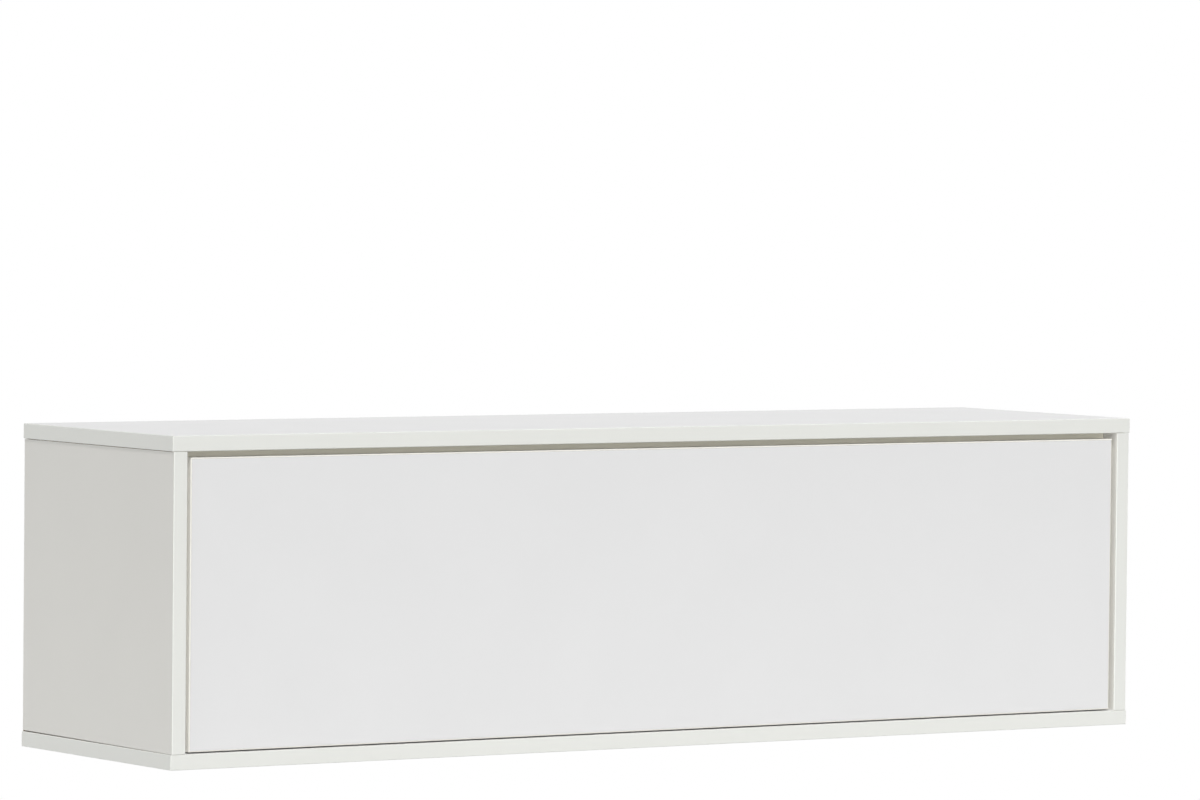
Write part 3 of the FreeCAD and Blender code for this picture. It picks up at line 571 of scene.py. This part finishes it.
# for each finish: what makes it, the setting with its colour, and what else its maker needs
MAKERS = {
    "melamine_face": (melamine_board, "melamine", {}),
    # painted shade: the side panels' warmer white stands in for warm shade
    "melamine_side": (melamine_board, "side", {}),
    # painted shade: the stop rail's cream white stands in for the warm shade in the top gap
    "melamine_rail": (melamine_board, "rail", {}),
    "abs_edging": (plastic_edging, "edging", {}),
    # painted light: the flap edging's brighter white stands in for light on its edges and arris
    "abs_flap_edging": (plastic_edging, "flap_edging", {}),
    "raw_chipboard": (raw_chipboard, "chipboard", {}),
    "lacquered_hardboard": (melamine_board, "melamine", {}),
    "bare_hardboard": (bare_hardboard, "hardboard", {}),
    "turned_beech": (turned_beech, "beech", {}),
    "zinc_plated_steel": (metal, "plated_steel", {"rough": 0.32, "grain_mm": 1.0}),
    "drawn_steel_rod": (
        metal,
        "plated_steel",
        {"rough": 0.22, "grain_mm": 0.6, "stretch": (1.0, 0.08, 1.0)},
    ),
    "die_cast_zinc": (metal, "zinc", {"rough": 0.42, "grain_mm": 1.4}),
    "nickel_plated_magnet": (metal, "plated_steel", {"rough": 0.2, "grain_mm": 2.0}),
    "grey_nylon": (moulded_plastic, "nylon", {"rough": 0.5}),
    "white_polyethylene": (moulded_plastic, "melamine", {"rough": 0.45}),
}


def finish_named(name):
    """The material of that name, made when it is first asked for."""
    if name not in bpy.data.materials:
        maker, setting, more = MAKERS[name]
        maker(name, getattr(bpy.context.scene.cabinet_finish, setting), **more)
    return bpy.data.materials[name]


# Pieces


def link_object(name, data):
    """A new object in the scene, with its data."""
    thing = bpy.data.objects.new(name, data)
    bpy.context.scene.collection.objects.link(thing)
    return thing


def stand_for(piece, node):
    """Let a piece ride with a node's body, in its place, and hide the node."""
    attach(piece, BODY_OF[node])
    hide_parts(node)


def draw_back(shell, node, trims):
    """Draw a copied node's ends back: trims gives, for an end such as -X, how far at each point."""
    low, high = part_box(node)
    near = 0.02 * MM
    for end, reach in trims.items():
        index = AXES[end[1]]
        level, way = (low, 1.0) if end[0] == "-" else (high, -1.0)
        for vert in shell.verts:
            if abs(vert.co[index] - level[index]) < near:
                vert.co[index] += way * reach(vert.co)


def dress(node, name, finishes, choose=None, bevel_mm=0.0, trims=None, cut_y=None):
    """A joined-up copy of a node, smooth round its curves, with a finish chosen for each face.

    A cut at a level of Y gives the trims more points to draw back.
    """
    mesh = NODES[node].data.copy()
    mesh.name = name
    mesh.materials.clear()
    for finish in finishes:
        mesh.materials.append(finish_named(finish))
    mesh.attributes.remove(mesh.attributes["custom_normal"])
    shell = bmesh.new()
    shell.from_mesh(mesh)
    bmesh.ops.remove_doubles(shell, verts=shell.verts, dist=MERGE)
    for face in shell.faces:
        face.smooth = True
        face.material_index = choose(face) if choose else 0
    flat = math.radians(0.2)
    bmesh.ops.dissolve_limit(
        shell, angle_limit=flat, verts=shell.verts, edges=shell.edges, delimit={"MATERIAL"}
    )
    if cut_y is not None:
        whole = [*shell.verts, *shell.edges, *shell.faces]
        bmesh.ops.bisect_plane(shell, geom=whole, plane_co=(0.0, cut_y, 0.0), plane_no=(0.0, 1.0, 0.0))
    draw_back(shell, node, trims or {})
    shell.to_mesh(mesh)
    shell.free()
    mesh.set_sharp_from_angle(angle=CREASE)
    piece = link_object(name, mesh)
    if bevel_mm:
        bevel = piece.modifiers.new("broken edges", "BEVEL")
        bevel.width = bevel_mm * MM
        bevel.segments = 2
        bevel.limit_method = "ANGLE"
        bevel.angle_limit = math.radians(50)
    even = piece.modifiers.new("even shading", "WEIGHTED_NORMAL")
    even.keep_sharp = True
    stand_for(piece, node)


def dress_set(marks, table):
    """Dress sets of like nodes, which a mark tells apart: a side or a number.

    The table gives the start of each node's name, the piece's form, its finish and its bevel in mm.
    """
    for mark in marks:
        for start, form, finish, bevel_mm in table:
            node = "%s_%s" % (start, mark)
            dress(node, "%s_%s" % (node, form), (finish,), bevel_mm=bevel_mm)


def paint(node, finish):
    """Give a hidden node its finish where it is."""
    mesh = NODES[node].data
    mesh.materials.clear()
    mesh.materials.append(finish_named(finish))


def coated_faces(node, axes):
    """A choice of finish: the outermost faces across the axes are coated, cuts and bores are bare."""
    low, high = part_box(node)

    def choose(face):
        centre = face.calc_center_median()
        for axis in axes:
            index = AXES[axis]
            if abs(face.normal[index]) > FACING:
                if any(abs(centre[index] - level[index]) < NEAR for level in (low, high)):
                    return 0
        return 1

    return choose


def solids_in(node):
    """The lowest and highest corner of each separate solid in a node."""
    shell = bmesh.new()
    shell.from_mesh(NODES[node].data)
    bmesh.ops.remove_doubles(shell, verts=shell.verts, dist=MERGE)
    waiting = set(shell.verts)
    boxes = []
    while waiting:
        reached = [waiting.pop()]
        for vert in reached:
            for edge in vert.link_edges:
                other = edge.other_vert(vert)
                if other in waiting:
                    waiting.remove(other)
                    reached.append(other)
        points = [vert.co for vert in reached]
        boxes.append(
            (
                Vector([min(point[index] for point in points) for index in range(3)]),
                Vector([max(point[index] for point in points) for index in range(3)]),
            )
        )
    shell.free()
    return sorted(boxes, key=lambda box: tuple(box[0]))


# Fasteners


# how a fastener is turned: its steps from tip to top and round, the tip's share of the shank's radius, the
# share of the head's height where its crown starts, how far up a ball of radius 1 the crown ends, and the
# depth below the head that still counts as the head
PROFILE_STEPS = 90
RING_STEPS = 28
TIP_SHARE = 0.12
CROWN_START = 0.35
CROWN_END = 0.8
HEAD_SLACK = 0.01 * MM


def fastener_tree():
    """Geometry nodes that turn a crowned fastener, cut a cross recess in it and set one on each point."""
    tree = bpy.data.node_groups.new("turned fasteners", "GeometryNodeTree")
    side = tree.interface
    side.new_socket("Geometry", in_out="INPUT", socket_type="NodeSocketGeometry")
    for name in (
        "Head Radius",
        "Head Height",
        "Shank Radius",
        "Shank Length",
        "Recess Span",
        "Recess Width",
        "Recess Depth",
    ):
        socket = side.new_socket(name, in_out="INPUT", socket_type="NodeSocketFloat")
        socket.subtype = "DISTANCE"
    side.new_socket("Turn Seed", in_out="INPUT", socket_type="NodeSocketInt")
    side.new_socket("Finish", in_out="INPUT", socket_type="NodeSocketMaterial")
    side.new_socket("Geometry", in_out="OUTPUT", socket_type="NodeSocketGeometry")
    given = add(tree, "NodeGroupInput").outputs

    # a line from the screw's tip to the top of its head, in many short steps
    below = reckon(tree, "MULTIPLY", given["Shank Length"], -1.0)
    tip = add(tree, "ShaderNodeCombineXYZ", {"Z": below}).outputs[0]
    top = add(tree, "ShaderNodeCombineXYZ", {"Z": given["Head Height"]}).outputs[0]
    line = add(tree, "GeometryNodeCurvePrimitiveLine", {"Start": tip, "End": top}).outputs[0]
    steps = add(tree, "GeometryNodeResampleCurve", {"Curve": line, "Count": PROFILE_STEPS}).outputs[0]
    place = add(tree, "GeometryNodeInputPosition").outputs[0]
    height = add(tree, "ShaderNodeSeparateXYZ", {0: place}).outputs["Z"]

    # the radius at each step: a pointed shank, then a head with straight sides and a crown
    from_tip = reckon(tree, "ADD", height, given["Shank Length"])
    point = reckon(tree, "DIVIDE", from_tip, given["Shank Radius"])
    slim = reckon(tree, "MAXIMUM", reckon(tree, "MINIMUM", point, 1.0), TIP_SHARE)
    shank = reckon(tree, "MULTIPLY", slim, given["Shank Radius"])
    up = reckon(tree, "DIVIDE", height, given["Head Height"])
    crown = map_range(tree, up, start=CROWN_START, high=CROWN_END)
    rest = reckon(tree, "SUBTRACT", 1.0, reckon(tree, "POWER", crown, 2.0))
    head = reckon(tree, "MULTIPLY", reckon(tree, "SQRT", rest), given["Head Radius"])
    in_head = reckon(tree, "GREATER_THAN", height, -HEAD_SLACK)
    radii = {"Factor": in_head, "A": shank, "B": head}
    radius = add(tree, "ShaderNodeMix", radii, data_type="FLOAT").outputs["Result"]
    circle = {"Resolution": RING_STEPS, "Radius": 1.0}
    ring = add(tree, "GeometryNodeCurvePrimitiveCircle", circle).outputs[0]
    turning = {"Curve": steps, "Profile Curve": ring, "Scale": radius, "Fill Caps": True}
    turned = add(tree, "GeometryNodeCurveToMesh", turning).outputs[0]

    # a cross recess, where one is wanted
    deep = reckon(tree, "MULTIPLY", given["Recess Depth"], 2.0)
    bars = []
    for long_way, short_way in (("X", "Y"), ("Y", "X")):
        spans = {long_way: given["Recess Span"], short_way: given["Recess Width"], "Z": deep}
        size = add(tree, "ShaderNodeCombineXYZ", spans).outputs[0]
        bar = add(tree, "GeometryNodeMeshCube", {"Size": size}).outputs[0]
        raised = add(tree, "GeometryNodeTransform", {"Geometry": bar, "Translation": top})
        bars.append(raised.outputs[0])
    cutting = {"Mesh 1": turned, "Mesh 2": bars}
    recessed = add(tree, "GeometryNodeMeshBoolean", cutting, operation="DIFFERENCE").outputs[0]
    wanted = reckon(tree, "GREATER_THAN", given["Recess Depth"], 0.0)
    choice = {"Switch": wanted, "False": turned, "True": recessed}
    chosen = add(tree, "GeometryNodeSwitch", choice, input_type="GEOMETRY").outputs[0]

    # one on each point, facing out of its surface and turned at random
    named = {"Name": "facing"}
    facing = add(tree, "GeometryNodeInputNamedAttribute", named, data_type="FLOAT_VECTOR")
    outwards = {"Vector": facing.outputs["Attribute"]}
    upright = add(tree, "FunctionNodeAlignRotationToVector", outwards, axis="Z").outputs[0]
    placing = {"Points": given["Geometry"], "Instance": chosen, "Rotation": upright}
    placed = add(tree, "GeometryNodeInstanceOnPoints", placing).outputs[0]
    whole_turn = {3: math.tau, "Seed": given["Turn Seed"]}
    turn = add(tree, "FunctionNodeRandomValue", whole_turn, data_type="FLOAT").outputs[1]
    about = add(tree, "ShaderNodeCombineXYZ", {"Z": turn}).outputs[0]
    spinning = {"Instances": placed, "Rotation": about, "Local Space": True}
    spun = add(tree, "GeometryNodeRotateInstances", spinning).outputs[0]
    real = add(tree, "GeometryNodeRealizeInstances", {"Geometry": spun}).outputs[0]
    finished = add(tree, "GeometryNodeSetMaterial", {"Geometry": real, "Material": given["Finish"]})
    add(tree, "NodeGroupOutput", {"Geometry": finished.outputs[0]})
    return tree


def set_fasteners(node, name, facings, sizes, finish):
    """Stand turned fasteners where a node's solids are: facings gives the way each head faces."""
    fasteners = bpy.context.scene.cabinet_fasteners
    points, ways = [], []
    for low, high in solids_in(node):
        way = Vector(facings(low, high))
        head_end = Vector([high[index] if way[index] > 0 else low[index] for index in range(3)])
        spot = (low + high) / 2
        for index in range(3):
            if abs(way[index]) > FACING:
                spot[index] = head_end[index] - way[index] * sizes["Head Height"]
        points.append(spot)
        ways.append(way)
    mesh = bpy.data.meshes.new(name + "_points")
    mesh.from_pydata(points, [], [])
    facing = mesh.attributes.new("facing", "FLOAT_VECTOR", "POINT")
    facing.data.foreach_set("vector", [value for way in ways for value in way])
    piece = link_object(name, mesh)
    tree = bpy.data.node_groups.get("turned fasteners") or fastener_tree()
    values = dict(sizes)
    values["Turn Seed"] = fasteners.turn_seed
    values["Finish"] = finish_named(finish)
    maker = piece.modifiers.new("fasteners", "NODES")
    maker.node_group = tree
    for item in tree.interface.items_tree:
        if item.in_out == "INPUT" and item.name in values:
            maker[item.identifier] = values[item.name]
    graph = bpy.context.evaluated_depsgraph_get()
    made = bpy.data.meshes.new_from_object(piece.evaluated_get(graph), depsgraph=graph)
    piece.modifiers.remove(maker)
    made.name = name
    piece.data = made
    bpy.data.meshes.remove(mesh)
    if not made.polygons:
        raise RuntimeError("no fasteners were made for " + node)
    made.shade_smooth()
    made.set_sharp_from_angle(angle=CREASE)
    stand_for(piece, node)


def wood_screw_sizes(fasteners):
    """Sizes of the cross-head wood screws."""
    return {
        "Head Radius": fasteners.screw_head_radius,
        "Head Height": fasteners.screw_head_height,
        "Shank Radius": fasteners.screw_radius,
        "Shank Length": fasteners.screw_length,
        "Recess Span": 4.0 * MM,
        "Recess Width": 1.0 * MM,
        "Recess Depth": 1.2 * MM,
    }


def arm_screw_sizes(fasteners):
    """Sizes of the screws that hold the hinge arms on their plates."""
    return {
        "Head Radius": fasteners.arm_screw_head_radius,
        "Head Height": fasteners.arm_screw_head_height,
        "Shank Radius": fasteners.arm_screw_radius,
        "Shank Length": fasteners.arm_screw_length,
        "Recess Span": 5.0 * MM,
        "Recess Width": 1.2 * MM,
        "Recess Depth": 1.4 * MM,
    }


def cap_sizes(fasteners):
    """Sizes of the caps over the cam locks, which have a short stem and no recess."""
    return {
        "Head Radius": fasteners.cap_radius,
        "Head Height": fasteners.cap_height,
        "Shank Radius": 2.0 * MM,
        "Shank Length": 2.0 * MM,
        "Recess Span": MM,
        "Recess Width": MM,
        "Recess Depth": 0.0,
    }


def to_room(low, high):
    """Inwards across the cabinet, from the side panel that a fastener sits on."""
    return (1.0, 0.0, 0.0) if low.x < 0 else (-1.0, 0.0, 0.0)


# Operators


class CABINET_OT_boards(bpy.types.Operator):
    """Face the boards with melamine, and leave their cut edges and bores bare"""

    bl_idname = "cabinet.boards"
    bl_label = "Boards"

    def execute(self, context):
        joints = context.scene.cabinet_joints
        low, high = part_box("right_side")

        def glued(point):
            return joints.glue_line

        def outwards(point):
            return (abs(point.x) - low.x) / (high.x - low.x)

        def upper(point):
            return joints.upper_butt * outwards(point)

        # the lower joint closes at its rear end, so that no light shows through it
        closed_end = 2.0 * MM
        last = high.y - closed_end

        def lower(point):
            if point.y > last + NEAR:
                return 0.0
            backwards = (point.y - low.y) / (last - low.y)
            widening = joints.lower_butt_rear - joints.lower_butt_front
            return (joints.lower_butt_front + backwards * widening) * outwards(point)

        def railed(point):
            return joints.rail_butt

        butted = {"-Y": glued, "-Z": lower, "+Z": upper}
        edged = {"-Y": glued, "-X": glued, "+X": glued}
        framed = {"-X": glued, "+X": glued, "-Z": glued, "+Z": glued}
        for node, face, axis, trims, cut_y in (
            ("top_panel", "melamine_face", "Z", edged, None),
            ("bottom_panel", "melamine_face", "Z", edged, None),
            # the side panels take the warmer white, which is painted shade
            ("left_side", "melamine_side", "X", butted, last),
            ("right_side", "melamine_side", "X", butted, last),
            ("centre_divider", "melamine_face", "X", {"-Y": glued}, None),
            ("upper_hanging_rail", "melamine_face", "Y", {}, None),
            ("lower_hanging_rail", "melamine_face", "Y", {}, None),
            ("flap_panel", "melamine_face", "Y", framed, None),
        ):
            finishes = (face, "raw_chipboard")
            dress(node, node + "_board", finishes, coated_faces(node, axis), trims=trims, cut_y=cut_y)
        # the stop rail's cream white is painted shade
        dress(
            "stop_rail",
            "stop_rail_board",
            ("melamine_rail", "raw_chipboard"),
            coated_faces("stop_rail", "YZ"),
            trims={"-X": railed, "+X": railed},
        )
        return {"FINISHED"}


class CABINET_OT_edging(bpy.types.Operator):
    """Glue the edging to the boards' front edges and ends"""

    bl_idname = "cabinet.edging"
    bl_label = "Edging"

    def execute(self, context):
        joints = context.scene.cabinet_joints

        def butted(point):
            return joints.edging_butt

        ends = {"-Z": butted, "+Z": butted}
        for node, trims in (
            ("top_edging", {}),
            ("bottom_edging", {}),
            ("left_side_edging", ends),
            ("right_side_edging", ends),
            ("divider_edging", {}),
        ):
            dress(node, node + "_strip", ("abs_edging",), trims=trims)
        # the flap edging's brighter white is painted light
        dress("flap_edging", "flap_edging_strip", ("abs_flap_edging",))
        return {"FINISHED"}


class CABINET_OT_back(bpy.types.Operator):
    """Set in the hardboard back, lacquered towards the room and bare towards the wall"""

    bl_idname = "cabinet.back"
    bl_label = "Back panel"

    def execute(self, context):
        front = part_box("back_panel")[0].y

        def choose(face):
            at_front = abs(face.calc_center_median().y - front) < NEAR
            return 0 if at_front and face.normal.y < -FACING else 1

        dress("back_panel", "back_panel_sheet", ("lacquered_hardboard", "bare_hardboard"), choose)
        return {"FINISHED"}


class CABINET_OT_joinery(bpy.types.Operator):
    """Fit the dowels, cam bolts, cam locks and caps that join the boards"""

    bl_idname = "cabinet.joinery"
    bl_label = "Joinery"

    def execute(self, context):
        paint("dowels", "turned_beech")
        paint("cam_bolts", "zinc_plated_steel")
        dress("cam_locks", "cam_lock_bodies", ("die_cast_zinc",), bevel_mm=0.3)
        fasteners = context.scene.cabinet_fasteners
        set_fasteners("cam_caps", "cam_lock_caps", to_room, cap_sizes(fasteners), "white_polyethylene")
        return {"FINISHED"}


class CABINET_OT_hinges(bpy.types.Operator):
    """Finish the cup hinges: cups, pins, cranked arms and mounting plates"""

    bl_idname = "cabinet.hinges"
    bl_label = "Hinges"

    def execute(self, context):
        table = (
            ("hinge_cup", "shell", "die_cast_zinc", 0.25),
            ("hinge_arm", "strip", "zinc_plated_steel", 0.25),
            ("hinge_plate", "cast", "zinc_plated_steel", 0.3),
        )
        dress_set((1, 2, 3, 4), table)
        dress("hinge_pins", "hinge_pin_rods", ("drawn_steel_rod",))
        return {"FINISHED"}


class CABINET_OT_stays(bpy.types.Operator):
    """Finish the brake stays: bases, blocks, screws, rods, stops, brackets and pins"""

    bl_idname = "cabinet.stays"
    bl_label = "Brake stays"

    def execute(self, context):
        table = (
            ("stay_base", "plate", "zinc_plated_steel", 0.3),
            ("brake_block", "body", "grey_nylon", 0.6),
            ("brake_screw", "knob", "zinc_plated_steel", 0.4),
            ("stay_rod", "shaft", "drawn_steel_rod", 0.3),
            ("rod_stop", "collar", "grey_nylon", 0.6),
            ("stay_bracket", "ears", "zinc_plated_steel", 0.3),
        )
        dress_set(("left", "right"), table)
        dress("stay_pins", "stay_pin_rivets", ("drawn_steel_rod",), bevel_mm=0.3)
        return {"FINISHED"}


class CABINET_OT_latches(bpy.types.Operator):
    """Finish the push latches: housings, plungers, magnets and strike plates"""

    bl_idname = "cabinet.latches"
    bl_label = "Push latches"

    def execute(self, context):
        table = (
            ("latch_housing", "barrel", "grey_nylon", 0.4),
            ("latch_plunger", "stem", "grey_nylon", 0.3),
            ("latch_magnet", "disc", "nickel_plated_magnet", 0.2),
        )
        dress_set(("left", "right"), table)
        dress("strike_plates", "strike_plate_pair", ("zinc_plated_steel",), bevel_mm=0.2)
        return {"FINISHED"}


class CABINET_OT_screws(bpy.types.Operator):
    """Drive the screws of the hinges, stays and latches"""

    bl_idname = "cabinet.screws"
    bl_label = "Screws"

    def execute(self, context):
        fasteners = context.scene.cabinet_fasteners
        wood = wood_screw_sizes(fasteners)
        arm = arm_screw_sizes(fasteners)

        def up(low, high):
            return (0.0, 0.0, 1.0)

        def backwards(low, high):
            return (0.0, 1.0, 0.0)

        for node, facings, sizes in (
            ("hinge_cup_screws", backwards, wood),
            ("hinge_plate_screws", up, wood),
            ("stay_base_screws", to_room, wood),
            ("stay_bracket_screws", backwards, wood),
            ("strike_screws", backwards, wood),
            ("hinge_arm_screws", up, arm),
        ):
            set_fasteners(node, node + "_crosshead", facings, sizes, "zinc_plated_steel")
        return {"FINISHED"}


class CABINET_OT_studio(bpy.types.Operator):
    """Set up the floor, the light and the camera"""

    bl_idname = "cabinet.studio"
    bl_label = "Studio"

    def execute(self, context):
        studio = context.scene.cabinet_studio
        make_floor(studio)
        make_light(studio)
        make_camera()
        context.scene.view_settings.view_transform = "Standard"
        return {"FINISHED"}


# Studio


def make_floor(studio):
    """A pale round floor, clear from below, which fades into the white background at its rim."""
    pale = linear("E6E6E6") + (1.0,)
    glow = 0.3
    fade_start = 0.35 * studio.floor_radius
    fade_end = 0.98 * studio.floor_radius
    mesh = bpy.data.meshes.new("studio_floor")
    disc = bmesh.new()
    bmesh.ops.create_circle(disc, cap_ends=True, segments=96, radius=studio.floor_radius)
    level = CAD_BOX[0].z - studio.floor_drop
    middle = (0.0, (CAD_BOX[0].y + CAD_BOX[1].y) / 2, level)
    bmesh.ops.translate(disc, verts=disc.verts, vec=middle)
    disc.to_mesh(mesh)
    disc.free()
    material = bpy.data.materials.new("studio_floor")
    material.use_nodes = True
    tree = material.node_tree
    tree.nodes.clear()

    def mix(share, first, second):
        return add(tree, "ShaderNodeMixShader", {0: share, 1: first, 2: second}).outputs[0]

    matt = add(tree, "ShaderNodeBsdfDiffuse", {"Color": pale}).outputs[0]
    lift = add(tree, "ShaderNodeEmission", {"Strength": glow}).outputs[0]
    lifted = add(tree, "ShaderNodeAddShader", {0: matt, 1: lift}).outputs[0]
    white = add(tree, "ShaderNodeEmission", {"Strength": 1.0}).outputs[0]
    place = add(tree, "ShaderNodeTexCoord").outputs["Object"]
    centred = add(tree, "ShaderNodeVectorMath", {0: place, 1: middle}, operation="SUBTRACT")
    reach = add(tree, "ShaderNodeVectorMath", {0: centred.outputs["Vector"]}, operation="LENGTH")
    fading = {"Value": reach.outputs["Value"], "From Min": fade_start, "From Max": fade_end}
    fade = add(tree, "ShaderNodeMapRange", fading, interpolation_type="SMOOTHSTEP").outputs["Result"]
    seen = mix(seen_directly(tree), matt, mix(fade, lifted, white))
    from_below = add(tree, "ShaderNodeNewGeometry").outputs["Backfacing"]
    clear = add(tree, "ShaderNodeBsdfTransparent").outputs[0]
    add(tree, "ShaderNodeOutputMaterial", {"Surface": mix(from_below, seen, clear)})
    mesh.materials.append(material)
    link_object("studio_floor", mesh)


# for each lamp: the setting with its strength and its share of that, then in degrees how far it stands
# to the right of straight in front, how high it stands and how wide it is
FRONT_WAY = -26.5
LAMPS = {
    "front_low": ("front", 0.4, FRONT_WAY, 2, 8),
    "front_middle": ("front", 0.12, FRONT_WAY, 18, 8),
    "front_high": ("front", 0.69, FRONT_WAY, 55, 8),
    "left": ("left", 1.0, -80, 10, 30),
    "overhead": ("overhead", 1.0, 0, 86, 50),
    "rear": ("rear", 1.0, 110, 40, 50),
    "low_rear": ("low_rear", 1.0, 170, -6, 8),
}


def make_light(studio):
    """Even light from all sides, and lamps in front, at the left end, overhead and behind."""
    world = bpy.data.worlds.new("studio")
    bpy.context.scene.world = world
    world.use_nodes = True
    tree = world.node_tree
    tree.nodes.clear()
    plain = (1.0, 1.0, 1.0, 1.0)
    sky = add(tree, "ShaderNodeBackground", {"Color": plain, "Strength": studio.sky}).outputs[0]
    white = add(tree, "ShaderNodeBackground", {"Color": plain, "Strength": 1.0}).outputs[0]
    both = add(tree, "ShaderNodeMixShader", {0: seen_directly(tree), 1: sky, 2: white})
    add(tree, "ShaderNodeOutputWorld", {"Surface": both.outputs[0]})
    for name, (setting, share, azimuth, elevation, spread) in LAMPS.items():
        lamp = bpy.data.lights.new(name, "SUN")
        lamp.energy = share * getattr(studio, setting)
        lamp.angle = math.radians(spread)
        around, above = math.radians(azimuth), math.radians(elevation)
        to_lamp = Vector(
            (math.sin(around) * math.cos(above), -math.cos(around) * math.cos(above), math.sin(above))
        )
        thing = link_object(name, lamp)
        thing.rotation_euler = (-to_lamp).to_track_quat("-Z", "Y").to_euler()


def make_camera():
    """The photograph's camera, worked out from the cabinet's edges in it: angles in radians, lens in mm."""
    yaw, pitch, roll = 0.581774, 0.03918, 0.009933
    place = (-4.117429, -6.433249, 0.486676)
    focal_length, sensor_width = 208.8432, 36.0
    ahead = Vector(
        (math.sin(yaw) * math.cos(pitch), math.cos(yaw) * math.cos(pitch), -math.sin(pitch))
    )
    right = Vector((math.cos(yaw), -math.sin(yaw), 0.0))
    level_up = right.cross(ahead)
    across = math.cos(roll) * right + math.sin(roll) * level_up
    upward = math.cos(roll) * level_up - math.sin(roll) * right
    lens = bpy.data.cameras.new("camera")
    lens.sensor_fit = "HORIZONTAL"
    lens.sensor_width = sensor_width
    lens.lens = focal_length
    lens.clip_end = 100.0
    camera = link_object("camera", lens)
    turn = Matrix((across, upward, -ahead)).transposed().to_4x4()
    camera.matrix_world = Matrix.Translation(place) @ turn
    bpy.context.scene.camera = camera


# Add-on


class CABINET_PT_pieces(bpy.types.Panel):
    """Lists the pieces of the cabinet and its settings"""

    bl_idname = "CABINET_PT_pieces"
    bl_label = "Wall cabinet"
    bl_space_type = "VIEW_3D"
    bl_region_type = "UI"
    bl_category = "Wall cabinet"

    def draw(self, context):
        for operator in OPERATORS:
            self.layout.operator(operator.bl_idname)
        for name in GROUPS:
            settings = getattr(context.scene, name)
            for item in settings.bl_rna.properties:
                if item.identifier not in ("rna_type", "name"):
                    self.layout.prop(settings, item.identifier)


GROUPS = {
    "cabinet_finish": CabinetFinish,
    "cabinet_joints": CabinetJoints,
    "cabinet_fasteners": CabinetFasteners,
    "cabinet_studio": CabinetStudio,
}
OPERATORS = (
    CABINET_OT_boards,
    CABINET_OT_edging,
    CABINET_OT_back,
    CABINET_OT_joinery,
    CABINET_OT_hinges,
    CABINET_OT_stays,
    CABINET_OT_latches,
    CABINET_OT_screws,
    CABINET_OT_studio,
)


def register():
    for name, settings in GROUPS.items():
        bpy.utils.register_class(settings)
        setattr(bpy.types.Scene, name, PointerProperty(type=settings))
    for operator in OPERATORS:
        bpy.utils.register_class(operator)
    bpy.utils.register_class(CABINET_PT_pieces)


def unregister():
    bpy.utils.unregister_class(CABINET_PT_pieces)
    for operator in reversed(OPERATORS):
        bpy.utils.unregister_class(operator)
    for name, settings in GROUPS.items():
        delattr(bpy.types.Scene, name)
        bpy.utils.unregister_class(settings)


def main():
    register()
    bpy.ops.cabinet.boards()
    bpy.ops.cabinet.edging()
    bpy.ops.cabinet.back()
    bpy.ops.cabinet.joinery()
    bpy.ops.cabinet.hinges()
    bpy.ops.cabinet.stays()
    bpy.ops.cabinet.latches()
    bpy.ops.cabinet.screws()
    bpy.ops.cabinet.studio()


if __name__ == "__main__":
    main()
